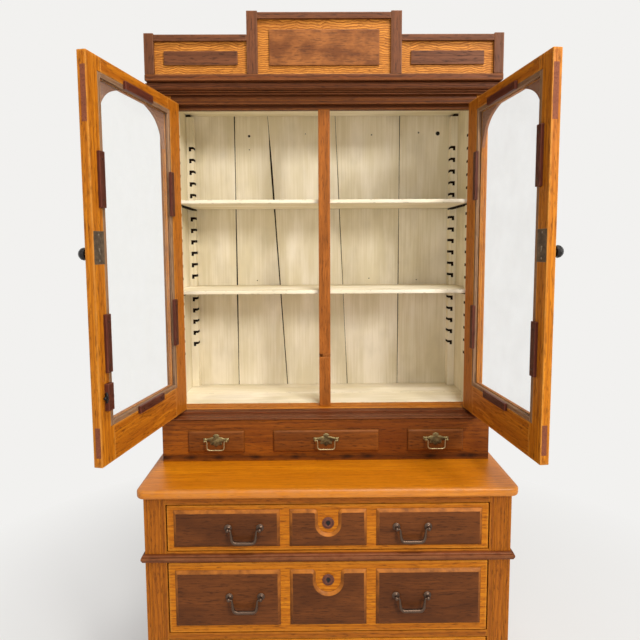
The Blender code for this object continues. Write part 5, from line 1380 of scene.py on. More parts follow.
@dataclass
class UpperCase:
    """The upper case: painted inside, oak outside, with its face frame, back planks and notched strips."""

    wall_x: float = 0.4809
    frame_thick: float = 0.022
    post_y: float = 0.279
    post_back: float = 0.2985
    post_half: float = 0.018
    base: float = 0.8983
    floor: float = 0.9123
    floor_front: float = 0.314
    ceiling: float = 1.8877
    top: float = 1.9077
    stop_low: float = 1.8418
    rail_low: float = 1.8525
    stile_inner: float = 0.4631
    back_y: float = 0.560
    back_thick: float = 0.012
    plank_face: float = 0.0045
    skin: float = 0.0016
    deck_lap: float = 0.006
    deck_gap: float = 0.0003
    ceiling_down: float = 0.002
    seams: tuple[Pair, ...] = ((-0.314, -0.314), (-0.132, -0.196), (0.091, 0.046), (0.277, 0.279))
    seam_widths: tuple[float, ...] = (0.0, 0.0036, 0.0, 0.0020, 0.0024, 0.0)
    open_number: int = 2
    open_widths: tuple[Pair, ...] = ((0.90, 0.0026), (1.27, 0.0040), (1.55, 0.0042), (1.57, 0.0060),
                                     (1.70, 0.0066), (1.79, 0.0044), (1.81, 0.0018), (1.92, 0.0014))
    tongue_half: float = 0.0045
    tongue_thick: float = 0.0012
    strip_wide: float = 0.025
    strip_deep: float = 0.033
    strip_top: float = 1.879
    notch_half: float = 0.00525
    core_in: float = 0.0009
    notch_first: float = 1.0625
    notch_pitch: float = 0.041
    notches: int = 18
    cleats: tuple[int, ...] = (12, 5)
    cleat_low: float = 0.0015
    cleat_high: float = 0.00425
    slot_deep: float = 0.0165
    slot_low: float = 0.0080
    slot_high: float = 0.0166
    stub_wide: float = 0.0085
    stub_low: float = 0.0010
    keep_z: float = 1.0764
    keep_half: float = 0.0052
    keep_x: float = -0.0068
    keep_back: float = 0.2922
    rail_bead: float = 1.8640
    hinge_x: float = 0.4615
    hinge_y: float = 0.2515
    hinge_levels: tuple[float, ...] = (1.0444, 1.7144)
    hinge_tall: float = 0.076
    barrel: float = 0.0038
    leaf_thick: float = 0.0016
    leaf_deep: float = 0.021
    head_step: float = 0.0025
    rest_slot: Pair = (0.015, 0.03)

    @property
    def behind_frame(self) -> float:
        """Y just behind the face frame."""
        return CASE_FRONT + self.frame_thick + GLUE

    @property
    def strip_sides(self) -> Pair:
        """Inner and outer X of the right-hand notched strips."""
        return self.wall_x - GLUE - self.strip_wide, self.wall_x - GLUE

    @property
    def strip_fronts(self) -> Pair:
        """Y of the fronts of the front strip, just behind the door stop, and of the rear one."""
        return self.post_y + self.frame_thick + GLUE, self.back_y - self.strip_deep - GLUE

    def walls(self) -> list[Surface]:
        """The right-hand and left-hand oak side panels, without their painted skins."""
        low = (self.wall_x + self.skin, self.behind_frame, self.base)
        return both_sides([board(low, (CASE_HALF, CHEST_DEPTH, self.top), UP)])

    def painted(self) -> Surface:
        """The painted skins of the sides, the floor and the ceiling."""
        wall, back, gap = self.wall_x, self.back_y - GLUE, self.deck_gap
        skin = board((wall, self.behind_frame, self.floor), (wall + self.skin, back, self.ceiling),
                     UP, 0.0004)
        edges = np.linspace(self.floor_front + GLUE, back, 3)
        x = wall + self.deck_lap
        floor = [board((-x, near + gap, self.base), (x, far - gap, self.floor), ACROSS)
                 for near, far in zip(edges, edges[1:])]
        high = (x, back, self.top - self.ceiling_down)
        ceiling = board((-x, self.strip_fronts[0], self.ceiling), high, ACROSS)
        return joined(both_sides([skin]) + floor + [ceiling])

    def plank_edges(self) -> list[tuple[float, float]]:
        """Lower and upper X of each line between planks, from the left wall to the right one."""
        edge = self.wall_x - GLUE
        return [(-edge, -edge)] + list(self.seams) + [(edge, edge)]

    def seam_half(self, number: int, z: np.ndarray) -> np.ndarray:
        """Half the width of the gap at a line between planks, at each height.

        Each seam has its own width, changed by a third of it along a sine; the second one, which has opened,
        follows its measured widths instead.

        Args:
            number: The line's place, 0 at the left wall.
            z: Heights.

        Returns:
            Half widths, 0 at the walls.
        """
        if number == self.open_number:
            heights, widths = np.array(self.open_widths).T
            return np.interp(z, heights, widths) / 2
        return self.seam_widths[number] / 2 * (1 + 0.33 * np.sin(9.0 * z + 2.3 * number))

    def planks(self, near: float, far: float, open_seams: bool) -> Surface:
        """Slant-edged planks between two depths.

        Args:
            near: Their front, as Y.
            far: Their back.
            open_seams: Whether their edges follow the seams' gaps, or nearly meet.

        Returns:
            The planks, each a loop carried back: up its left edge's heights and down its right edge's.
        """
        lines = self.plank_edges()
        z = np.linspace(self.base, self.top, 25)
        share = (z - self.base) / (self.top - self.base)
        made = []
        for number, (left, right) in enumerate(zip(lines, lines[1:])):
            gaps = [self.seam_half(line, z) if open_seams else np.full(len(z), GLUE)
                    for line in (number, number + 1)]
            rise = np.stack([left[0] + (left[1] - left[0]) * share + gaps[0], z], 1)
            fall = np.stack([right[0] + (right[1] - right[0]) * share - gaps[1], z], 1)
            made.append(milled(np.concatenate([rise, fall[::-1]]), (near, far), DEEP, 0.0009, 0.003, UP,
                               worn=0.0))
        return joined(made)

    def seam_shade_tongues(self, near: float) -> Surface:
        """Painted shade in the seams: a narrow slanting near-black board behind each, standing for the gap's
        shadow.
        """
        z = np.array([self.base, self.top])
        made = []
        for left, right in self.plank_edges()[1:-1]:
            x = np.array([left, right])
            side = self.tongue_half
            loop = np.concatenate([np.stack([x + side, z], 1), np.stack([x - side, z], 1)[::-1]])
            made.append(milled(loop, (near - self.tongue_thick, near - GLUE / 3), DEEP, 0.0003, 0.001, UP))
        return joined(made)

    def nails(self) -> Surface:
        """Nail heads sunk in the back planks."""
        places = [(-0.262, 1.819, 2.2), (0.178, 1.822, 1.2), (0.347, 1.829, 1.4), (0.416, 1.826, 3.6),
                  (-0.262, 1.771, 0.9), (-0.060, 1.826, 0.8), (-0.240, 1.300, 1.0), (0.170, 1.306, 1.0),
                  (0.345, 1.300, 1.0)]
        profile = np.array([(0.0004, -0.001), (0.0021, -0.001), (0.0021, 0.0001), (0.0016, 0.0004),
                            (0.0004, 0.0003)])
        return joined([turned(profile * (size, 1.0), (x, self.back_y, z), 10) for x, z, size in places])

    def face_frame(self) -> Surface:
        """Stiles and ledge of the face frame."""
        front, back = CASE_FRONT, CASE_FRONT + self.frame_thick
        stile = board((self.stile_inner, front, self.base), (CASE_HALF, back, self.top), UP, cut=Cut.RIFT)
        wall = self.wall_x - GLUE
        ledge = board((-wall, front, self.base), (wall, self.floor_front, self.floor), ACROSS)
        return joined(both_sides([stile]) + [ledge])

    def head(self) -> Surface:
        """The dark head: a rail of two members, the lower a little proud, and the stop behind them."""
        front, inner, wall = CASE_FRONT, self.stile_inner, self.wall_x - GLUE
        back, bead = front + self.frame_thick, self.rail_bead
        return joined([board((-inner, front, self.rail_low), (inner, back, bead), ACROSS, 0.0014, 0.003),
                       board((-inner, front + self.head_step, bead), (inner, back, self.top), ACROSS),
                       board((-wall, self.post_y, self.stop_low),
                             (wall, self.post_y + self.frame_thick, self.top), ACROSS)])

    def centre_post(self) -> Surface:
        """The centre post, with the slot that the bolt shoots into, as four boards of one figure."""
        x, slot, front, back = self.post_half, self.keep_x, self.post_y, self.post_back
        low, high = self.keep_z - self.keep_half, self.keep_z + self.keep_half
        figure = {"middle": (0.0, 0.288, 1.38)}
        return joined([
            board((-x, front, self.floor), (x, back, low), UP, cut=Cut.QUARTER, **figure),
            board((-x, front, high), (x, back, self.stop_low), UP, cut=Cut.QUARTER, **figure),
            board((slot, front, low), (x, back, high), UP, 0.0004, **figure),
            board((-x, self.keep_back, low), (slot, back, high), UP, 0.0004, **figure)])

    def case_leaves(self) -> Surface:
        """The case's leaf of each butt hinge, with its outer two knuckles."""
        parts = []
        x, y, tall, radius = self.hinge_x, self.hinge_y, self.hinge_tall, self.barrel
        third = tall / 3
        for level in self.hinge_levels:
            for low, high in ((0, third - GLUE), (2 * third + GLUE, tall)):
                profile = [(radius * 0.5, low), (radius, low + 0.0004), (radius, high - 0.0004),
                           (radius * 0.5, high)]
                parts.append(turned(profile, (x, y, level), 14, [0, 0.7, 0.7, 0], UP))
            leaf_end = (x + self.leaf_thick, y + self.leaf_deep, level + tall)
            parts.append(board((x + GLUE, y + radius, level), leaf_end, UP, 0.0002))
        return joined(both_sides(parts))

    def notch_heights(self) -> np.ndarray:
        """Middle heights of the notches, from the lowest up."""
        return self.notch_first + self.notch_pitch * np.arange(self.notches)

    def notch(self, level: float, inner: float, cleat: bool) -> list[Pair]:
        """A notch's corners from the strip's edge in and back, from below, square round a cleat or hooked.

        A hooked notch is a slot open to the edge, above its level, whose closed end drops nearly to it.

        Args:
            level: Height of its middle.
            inner: X of the strip's edge.
            cleat: Whether a cleat sits in it.

        Returns:
            Corners as X and Z.
        """
        half = self.notch_half
        if cleat:
            low = level - self.cleat_low
            return [(inner, low), (inner + 2 * half, low), (inner + 2 * half, level + half),
                    (inner, level + half)]
        top, sill, end = level + self.slot_high, level + self.slot_low, inner + self.slot_deep
        stub, foot = end - self.stub_wide, level + self.stub_low
        return [(inner, sill), (stub, sill), (stub, foot), (end, foot), (end, top), (inner, top)]

    def strips(self) -> Surface:
        """The right-hand notched strips: a comb-shaped loop carried back, front and rear."""
        (inner, outer), foot, top = self.strip_sides, self.floor + GLUE, self.strip_top
        comb = [corner for number, level in enumerate(self.notch_heights())
                for corner in self.notch(level, inner, number in self.cleats)]
        outline = [(inner, foot)] + comb + [(inner, top), (outer, top), (outer, foot)]
        return joined([milled(outline, (y, y + self.strip_deep), DEEP, 0.0005, 0.0015, UP, ease=0.0007)
                       for y in self.strip_fronts])

    def cleat_bars(self) -> Surface:
        """The right-hand cleats that the shelves rest on, from the front strip to the rear one."""
        inner, front = self.strip_sides[0], self.post_y + self.frame_thick + 2 * GLUE
        far = (inner + 2 * self.notch_half, self.back_y - 2 * GLUE)
        return joined([
            board((inner + GLUE, front, level - self.cleat_low - GLUE), (*far, level + self.cleat_high), DEEP)
            for level in self.notch_heights()[list(self.cleats)]])

    def notch_shade_cores(self) -> Surface:
        """Painted shade: near-black wood deep in the right-hand notches, and in the slot left above each rear
        strip.
        """
        (inner, outer), (wide, deep), rear = self.strip_sides, self.rest_slot, self.strip_fronts[1]
        parts = []
        for level in np.delete(self.notch_heights(), self.cleats):
            corners = np.array(self.notch(level, inner, False))
            corners[[0, -1], 0] += self.core_in
            loop = inset_loop(anticlockwise(corners), GLUE / 3)
            parts += [milled(loop, (y + self.core_in, y + self.strip_deep - GLUE), DEEP, 0.0002, 0.0005, UP,
                             worn=0.0) for y in self.strip_fronts]
        high = (outer, rear + deep, self.ceiling - self.ceiling_down)
        return joined(parts + [board((outer - wide, rear, self.strip_top + GLUE), high, DEEP, 0.0004)])

    def dress(self) -> None:
        """Show every piece of the upper case."""
        show("case_oak_sides", joined(self.walls()), "golden_oak", "upper_carcass")
        show("case_painted_lining", self.painted(), "cream_paint", "upper_carcass")
        split = self.back_y + self.plank_face
        show("back_planks_painted", self.planks(self.back_y, split, True), "cream_paint", "back_boards")
        show("back_planks_bare", self.planks(split, self.back_y + self.back_thick, False), "raw_oak",
             "back_boards")
        show("back_seam_tongues", self.seam_shade_tongues(split), "walnut_shadow", "back_boards")
        show("back_nail_heads", self.nails(), "black_iron", "back_boards")
        show("case_face_frame", self.face_frame(), "golden_oak", "face_frame")
        show("case_dark_head", self.head(), "head_walnut", "face_frame")
        show("case_centre_post", self.centre_post(), "post_oak", "face_frame")
        show("case_hinge_leaves", self.case_leaves(), "aged_brass", "face_frame")
        # The notch cores and the shelf cleats wear the near-black finish that paints shade
        ladders = (("notched_strips", self.strips(), "cream_paint"),
                   ("notch_shade_cores", self.notch_shade_cores(), "walnut_shadow"),
                   ("shelf_cleats", self.cleat_bars(), "walnut_shadow"))
        for side in Side:
            word = side.name.lower()
            for name, right, finish in ladders:
                own = right if side is Side.RIGHT else right.flipped()
                show(f"{name}_{word}", own, finish, f"shelf_ladder_{word}")


@dataclass
class Shelf:
    """A painted shelf, cut round the notched strips at its corners."""

    name: str
    low: float
    thick: float = 0.0115
    half: float = 0.4797
    front: float = 0.2995
    back: float = 0.5588
    notch_x: float = 0.4546
    front_notch: float = 0.3353
    back_notch: float = 0.5257

    def surface(self) -> Surface:
        """The plan outline with its four cut corners, carried up."""
        a, b = self.notch_x, self.half
        right = [(a, self.front), (a, self.front_notch), (b, self.front_notch), (b, self.back_notch),
                 (a, self.back_notch), (a, self.back)]
        corners = right + [(-x, y) for x, y in reversed(right)]
        return milled(corners, (self.low, self.low + self.thick), UP, 0.0016, 0.003, ACROSS, ease=0.0008)

    def dress(self) -> None:
        """Show the shelf."""
        show(f"{self.name}_board", self.surface(), "cream_paint", self.name, self.name)


@dataclass
class Cornice:
    """The stepped moulding round the top of the upper case and the board that lies on it."""

    base: float = 1.877
    top: float = 1.908
    board_half: float = 0.5255
    board_front: float = 0.2086
    board_thick: float = 0.018

    def moulding(self) -> Surface:
        """The moulding: steps and coves that climb outwards, mitred round the front and sides."""
        base, top = self.base, self.top
        corners = [(GLUE, base), (0.0129, base), (0.0129, base + 0.0030), (0.0108, base + 0.0032),
                   (0.0108, base + 0.0046), (0.018, base + 0.0062), (0.018, base + 0.0082),
                   (0.0155, base + 0.0084), (0.0155, base + 0.0098), (0.024, base + 0.0109),
                   (0.024, base + 0.0124), (0.0285, base + 0.0133), (0.030, top - 0.0022),
                   (0.0265, top - 0.0020), (0.0265, top), (GLUE, top)]
        return moulded(corners, 0.0004, 0.002, three_sides(CASE_HALF, CASE_FRONT))

    def top_board(self) -> Surface:
        """The board on top."""
        return board((-self.board_half, self.board_front, self.top),
                     (self.board_half, CHEST_DEPTH, self.top + self.board_thick), ACROSS, 0.002)

    def dress(self) -> None:
        """Show the cornice."""
        show("cornice_moulding_and_board", joined([self.moulding(), self.top_board()]), "cornice_walnut",
             "cornice")


@dataclass
class Crest:
    """The stepped crest: a light board behind walnut posts and rails, with a dark tablet in each bay."""

    base: float = 1.9263
    side_top: float = 2.0373
    tall_top: float = 2.0993
    front: float = 0.2086
    frame_thick: float = 0.010
    board_thick: float = 0.012
    end_half: float = 0.5245
    end_wide: float = 0.028
    tall_inner: float = 0.1945
    tall_wide: float = 0.0315
    rail: float = 0.0175
    rise: float = 0.004
    tablet_out: float = 0.006
    tablets: tuple[tuple[float, float, float, float], ...] = (
        (-0.4685, -0.2535, 0.027, 0.066), (-0.161, 0.161, 0.025, 0.126), (0.2535, 0.4685, 0.027, 0.066))

    def frame_parts(self) -> Surface:
        """Posts and rails."""
        front, back = self.front, self.front + self.frame_thick
        end_inner, outer = self.end_half - self.end_wide, self.tall_inner + self.tall_wide
        right = [
            board((end_inner, front, self.base), (self.end_half, back, self.side_top + self.rise), UP),
            board((self.tall_inner, front, self.base), (outer, back, self.tall_top + self.rise), UP),
            board((outer, front, self.side_top - self.rail), (end_inner, back, self.side_top), ACROSS)]
        top = board((-self.tall_inner, front, self.tall_top - self.rail),
                    (self.tall_inner, back, self.tall_top), ACROSS)
        return joined(both_sides(right) + [top])

    def boards(self) -> Surface:
        """The light boards behind the frame: one tall in the middle, one low at each side."""
        near = self.front + self.frame_thick + GLUE
        far, outer = near + self.board_thick, self.tall_inner + self.tall_wide
        side = board((outer, near, self.base), (self.end_half, far, self.side_top), ACROSS, cut=Cut.RIFT)
        tall = board((-outer, near, self.base), (outer, far, self.tall_top), ACROSS, cut=Cut.RIFT)
        return joined(both_sides([side]) + [tall])

    def tablet(self, index: int) -> Surface:
        """One tablet, a thin board with softly rounded edges."""
        low_x, high_x, low_z, high_z = self.tablets[index]
        face = self.front + self.frame_thick
        return board((low_x, face - self.tablet_out, self.base + low_z),
                     (high_x, face + GLUE, self.base + high_z), ACROSS, 0.0016)

    def dress(self) -> None:
        """Show the crest."""
        show("crest_posts_and_rails", self.frame_parts(), "walnut", "crest_frame")
        show("crest_light_boards", self.boards(), "light_oak", "crest_board")
        show("crest_side_tablets", joined([self.tablet(0), self.tablet(2)]), "walnut", "crest_board")
        show("crest_centre_tablet", self.tablet(1), "burr_walnut", "crest_board")


# The doors


@dataclass
class Door:
    """One glazed door, built in its own frame: along from the hinge line, deep to its inner face, and up."""

    side: Side
    opening: float
    dark_lengths: tuple[tuple[Pair, ...], ...]
    tenons: tuple[Pair, ...] = ((0.0226, 0.0946), (0.7836, 0.9056))
    hinge: Triple = (0.4615, 0.2515, 0.9144)
    near: float = 0.0016
    far: float = 0.4603
    outer: float = 0.0045
    inner: float = 0.0265
    height: float = 0.9369
    hinge_stile: float = 0.072
    free_stile: float = 0.054
    top_rail: float = 0.045
    bottom_rail: float = 0.098
    rabbet: float = 0.012
    rabbet_deep: float = 0.0122
    strip_face: float = 0.011
    strip_thick: float = 0.008
    dark_wide: float = 0.020
    dark_back: float = 0.028
    dark_near: float = 0.008
    dark_thick: float = 0.008
    nail_in: float = 0.018
    glass: float = 0.003
    spandrel: float = 0.100
    spandrel_thick: float = 0.0085
    spandrel_bow: float = 0.0168
    tenon_shares: Pair = (0.3, 0.88)
    tenon_in: float = 0.002
    tenon_proud: float = 0.0002
    lock_low: float = 0.470
    lock_high: float = 0.546
    lock_wide: float = 0.041
    lock_thick: float = 0.0025
    lock_in: float = 0.0016
    lock_proud: float = 0.0001
    screw_in: float = 0.009
    keyhole_z: float = 0.505
    knob_z: float = 0.494
    knob_inset: float = 0.028
    knob_radius: float = 0.015
    knob_long: float = 0.031
    latch_sides: Pair = (0.4206, 0.4416)
    latch_ends: Pair = (0.130, 0.194)
    latch_z: float = 0.162
    latch_deep: float = 0.012
    latch_skin: float = 0.0014
    bolt_hole_half: float = 0.0046
    bolt_radius: float = 0.0040
    bolt_nose: float = 0.010
    bolt_tail: float = 0.034
    oval: Pair = (0.0048, 0.0135)

    @property
    def name(self) -> str:
        """The door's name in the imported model."""
        return f"door_{self.side.name.lower()}"

    @property
    def matrix(self) -> Matrix:
        """From the door's own frame to the world: turned open, then out to its hinge line."""
        x, y, z = self.hinge
        sign = -self.side.value
        turn = Matrix.Rotation(math.radians(-sign * self.opening), 4, "Z")
        return Matrix.Translation((-sign * x, y, z)) @ turn

    def place(self, part: Surface) -> Surface:
        """A surface drawn with along to +X, put on this door."""
        own = part if self.side is Side.LEFT else part.flipped()
        return own.placed(self.matrix)

    @property
    def clear(self) -> tuple[float, float, float, float]:
        """The opening between the members: low and high along, low and high up."""
        return (self.near + self.hinge_stile, self.far - self.free_stile, self.bottom_rail,
                self.height - self.top_rail)

    def stile(self, solid_edge: float, rabbet_edge: float, knob_side: bool) -> Surface:
        """A stile whose rabbet stops short of its ends.

        Its section is a six-cornered loop; in the solid lengths the rabbet's two corners are moved out to the
        inner face, and two loops 0.1 mm apart make each end of the rabbet.

        Args:
            solid_edge: Along of the edge away from the glass.
            rabbet_edge: Along of the edge beside the glass.
            knob_side: Whether it is the free stile, whose outer arrises are rubbed more.

        Returns:
            The stile.
        """
        turn = 1.0 if rabbet_edge > solid_edge else -1.0
        inside = rabbet_edge - turn * self.rabbet
        step = self.inner - self.rabbet_deep
        outside = [(solid_edge, self.outer), (rabbet_edge, self.outer)]
        behind = [(inside, self.inner), (solid_edge, self.inner)]
        cut_corners = outside + [(rabbet_edge, step), (inside, step)] + behind
        full_corners = outside + [(rabbet_edge, self.inner),
                                  (rabbet_edge - turn * self.rabbet * 0.4, self.inner)] + behind
        ease = 0.0018 if knob_side else 0.0014
        _, _, low, high = self.clear
        low, high = low - self.rabbet, high + self.rabbet
        backs, insets, rubs = [0.0, 0.0004, 0.0014, 0.006], [0.0014, 0.0004, 0, 0], [0.4, 0.9, 0.6, 0]
        ends = [low - 0.0001, low, high, high + 0.0001]
        levels = backs + ends + [self.height - back for back in backs[::-1]]
        sections = [full_corners] * 5 + [cut_corners] * 2 + [full_corners] * 5
        rings = [rounded_loop(inset_loop(anticlockwise(np.array(corners)), inset), ease, 0.004)
                 for corners, inset in zip(sections, insets + [0] * 4 + insets[::-1])]
        worn = np.stack([np.maximum(rub, wear) for rub, (_, wear) in zip(rubs + [0] * 4 + rubs[::-1], rings)])
        return stacked([loop for loop, _ in rings], levels, worn, UP, UP, Cut.RIFT)

    def rail(self, low: float, high: float, rabbet_up: bool) -> Surface:
        """A rail between the stiles, with the rabbet along one inner edge.

        Args:
            low: Its lower edge.
            high: Its upper edge.
            rabbet_up: Whether the glass is above it.

        Returns:
            The rail.
        """
        step = self.inner - self.rabbet_deep
        if rabbet_up:
            corners = [(self.outer, low), (self.inner, low), (self.inner, high - self.rabbet),
                       (step, high - self.rabbet), (step, high), (self.outer, high)]
        else:
            corners = [(self.outer, low), (step, low), (step, low + self.rabbet),
                       (self.inner, low + self.rabbet), (self.inner, high), (self.outer, high)]
        near, far, _, _ = self.clear
        return milled(corners, (near, far), ACROSS, 0.0005, 0.004)

    def oak_frame(self) -> Surface:
        """Two stiles and two rails."""
        near, far, low, high = self.clear
        return joined([self.stile(self.near, near, False), self.stile(self.far, far, True),
                       self.rail(0.0, low, True), self.rail(high, self.height, False)])

    def spandrels(self) -> Surface:
        """The arched corner brackets: a square corner and a hollow curve between its ends.

        The curve is the straight line between the two ends pushed outwards by a sine.
        """
        near, far, _, top = self.clear
        share = np.linspace(0, 1, 19)
        sag = self.spandrel_bow * np.sin(math.pi * share)
        parts = []
        for corner, turn in ((near, 1.0), (far, -1.0)):
            curve = np.stack([corner + turn * (self.spandrel * (1 - share) - sag),
                              top - self.spandrel * share + sag], 1)
            loop = np.concatenate([[(corner, top)], curve])
            span = (self.outer + GLUE, self.outer + GLUE + self.spandrel_thick)
            parts.append(milled(loop, span, DEEP, 0.0008, 0.002, ACROSS, worn=0.3))
        return joined(parts)

    def tenon_ends(self) -> Surface:
        """End grain of the rails' tenons on the free stile's edge."""
        near, far = (self.outer + (self.inner - self.outer) * share for share in self.tenon_shares)
        first, last = self.far - self.tenon_in, self.far + self.tenon_proud
        return joined([board((first, near, low), (last, far, high), ACROSS, 0.0002, 0.001)
                       for low, high in self.tenons])

    def pale_strips(self) -> Surface:
        """The strips of wood and putty in the rabbet, over the pane's edge and flush with the members."""
        near, far, low, high = self.clear
        reach, face = self.rabbet - GLUE, self.strip_face
        x0, x1, z0, z1 = near - reach, far + reach, low - reach, high + reach
        front = self.inner - self.rabbet_deep + 2 * GLUE + self.glass
        back = front + self.strip_thick
        return joined([
            board((x0, front, z0), (x0 + face, back, z1), UP, 0.001, 0.002),
            board((x1 - face, front, z0), (x1, back, z1), UP, 0.001, 0.002),
            board((x0 + face, front, z1 - face), (x1 - face, back, z1), ACROSS, 0.001, 0.002),
            board((x0 + face, front, z0), (x1 - face, back, z0 + face), ACROSS, 0.001, 0.002)])

    def dark_strips(self) -> tuple[Surface, list[Triple]]:
        """The dark lengths nailed on the inner face, along both stiles and both rails.

        Returns:
            The strips, and the places of their nails.
        """
        near, far, low, high = self.clear
        wide, face, back = self.dark_wide, self.inner + GLUE / 3, self.inner + self.dark_thick
        edges = ((near - wide + self.dark_near, UP), (far + self.dark_back - wide, UP), (high, ACROSS),
                 (low - wide, ACROSS))
        parts, nails = [], []
        for (edge, way), lengths in zip(edges, self.dark_lengths):
            for start, end in lengths:
                corners = ((edge, face, start), (edge + wide, back, end))
                if way is ACROSS:
                    corners = ((start, face, edge), (end, back, edge + wide))
                parts.append(board(*corners, way, 0.001, 0.002))
                for place in (start + self.nail_in, end - self.nail_in):
                    middle = edge + wide / 2
                    nails.append((middle, back, place) if way is UP else (place, back, middle))
        return joined(parts), nails

    def nail_heads(self, places: Sequence[Triple]) -> Surface:
        """Small nail heads on the strips, facing into the case."""
        profile = [(0.0004, 0.0004), (0.0020, 0.0004), (0.0020, -0.0003), (0.0012, -0.0008),
                   (0.0004, -0.0008)]
        return joined([turned(profile, place, 10) for place in places])

    def lock(self) -> Surface:
        """The lock plate let into the inner face."""
        edge = self.far - self.lock_in
        low = (edge - self.lock_wide, self.inner - self.lock_thick, self.lock_low)
        return board(low, (edge, self.inner + self.lock_proud, self.lock_high), UP, 0.0006, 0.002)

    def keyhole(self) -> Surface:
        """The keyhole's worn drop with a slanting slot below it, and the lock's two screw heads."""
        x, z, face = self.far - self.lock_in - self.lock_wide / 2, self.keyhole_z, self.inner
        loop = np.concatenate([arc((x, z), 0.0026, -40, 220, 11),
                               [(x - 0.0040, z - 0.012), (x - 0.0018, z - 0.013)]])
        drop = raised(loop, [(0, face - 0.0006), (0, face + 0.0004), (0.0004, face + 0.0005)], [0, 0, 0],
                      DEEP, UP)
        head = [(0.0005, 0.0006), (0.0026, 0.0006), (0.0026, -0.0003), (0.0016, -0.0008), (0.0005, -0.0008)]
        levels = (self.lock_low + self.screw_in, self.lock_high - self.screw_in)
        screws = [turned(head, (x, face, level), 12) for level in levels]
        return joined([drop] + screws)

    def knob(self) -> Surface:
        """The faceted knob, its neck and collar, turned towards the front."""
        radius, tall = self.knob_radius, self.knob_long
        profile = [(0.003, -0.018), (0.003, 0.0), (radius * 0.55, 0.0), (radius * 0.55, 0.0015),
                   (radius * 0.42, 0.004), (radius * 0.45, tall * 0.35), (radius * 0.85, tall * 0.46),
                   (radius, tall * 0.62), (radius * 0.97, tall * 0.76), (radius * 0.70, tall * 0.94),
                   (radius * 0.30, tall)]
        rub = [0, 0, 0, 0.4, 0, 0, 0.6, 1.0, 0.9, 0.9, 0.6]
        return turned(profile, (self.far - self.knob_inset, self.outer - GLUE, self.knob_z), 12, rub)

    def dress(self) -> None:
        """Show every piece of the door."""
        name = self.name
        dark, nails = self.dark_strips()
        for word, surface, finish, node, slot in (
                ("oak_members", self.oak_frame(), "golden_oak", "frame", "golden_oak"),
                ("arched_brackets", self.spandrels(), "bracket_walnut", "frame", "golden_oak"),
                ("tenon_ends", self.tenon_ends(), "end_grain", "frame", "golden_oak"),
                ("pale_strips", self.pale_strips(), "grey_strip", "glazing_strips", "dark_walnut"),
                ("dark_strips", dark, "dark_strip", "glazing_strips", "dark_walnut"),
                ("strip_nails", self.nail_heads(nails), "black_iron", "glazing_strips", "black_iron"),
                ("lock_plate", self.lock(), "lock_steel", "lock_and_knob", "black_iron"),
                ("keyhole_and_screws", self.keyhole(), "pale_steel", "lock_and_knob", "black_iron"),
                ("faceted_knob", self.knob(), "black_iron", "lock_and_knob", "black_iron")):
            sharp = 20.0 if word == "faceted_knob" else 50.0
            show(f"{name}_{word}", self.place(surface), finish, f"{name}_{node}", name, sharp)
        for word, finish in (("glass", "clear_glass"), ("hinge_leaf_lower", "aged_brass"),
                             ("hinge_leaf_upper", "aged_brass")):
            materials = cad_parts[f"{name}_{word}"].data.materials
            materials.clear()
            materials.append(FINISHES[finish])
        if self.side is Side.LEFT:
            self.dress_latch()

    def dress_latch(self) -> None:
        """Show the latch block with its pin, and the oval bolt."""
        (x0, x1), (z0, z1), middle_z = self.latch_sides, self.latch_ends, self.latch_z
        deep, skin, face = self.latch_deep, self.latch_skin, self.inner
        low, high = middle_z - self.bolt_hole_half, middle_z + self.bolt_hole_half
        block = joined([
            board((x0, face, z0), (x1, face + deep, low), UP, 0.001, 0.003),
            board((x0, face, high), (x1, face + deep, z1), UP, 0.001, 0.003),
            board((x0, face, low), (x1, face + skin, high), UP, 0.0002),
            board((x0, face + deep - skin, low), (x1, face + deep, high), UP, 0.0002)])
        show("latch_block", self.place(block), "dark_strip", f"{self.name}_frame", self.name)
        turn, radius, back = np.radians(np.linspace(0, 85, 7)), self.bolt_radius, -self.bolt_tail
        profile = np.concatenate([[(0.001, back), (radius - 0.0002, back)],
                                  np.stack([radius * np.cos(turn), -radius + radius * np.sin(turn)], 1)])
        bolt = turned(profile, (x1 + self.bolt_nose, face + deep / 2, middle_z), 20, way=ACROSS)
        show("latch_oval_bolt", self.place(bolt), "black_iron", "door_left_latch_bolt", "door_left_latch")
        turn = np.linspace(0, 2 * math.pi, 24, endpoint=False)
        oval = np.stack([face + deep / 2 + self.oval[0] * np.cos(turn),
                         middle_z + self.oval[1] * np.sin(turn)], 1)
        plate = raised(oval, [(0, x1 + GLUE / 3), (0, x1 + 0.0009), (0.0008, x1 + 0.0015)], [0, 0.6, 0.4],
                       ACROSS, UP)
        show("latch_oval_plate", self.place(plate), "black_iron", f"{self.name}_frame", self.name)


# The studio


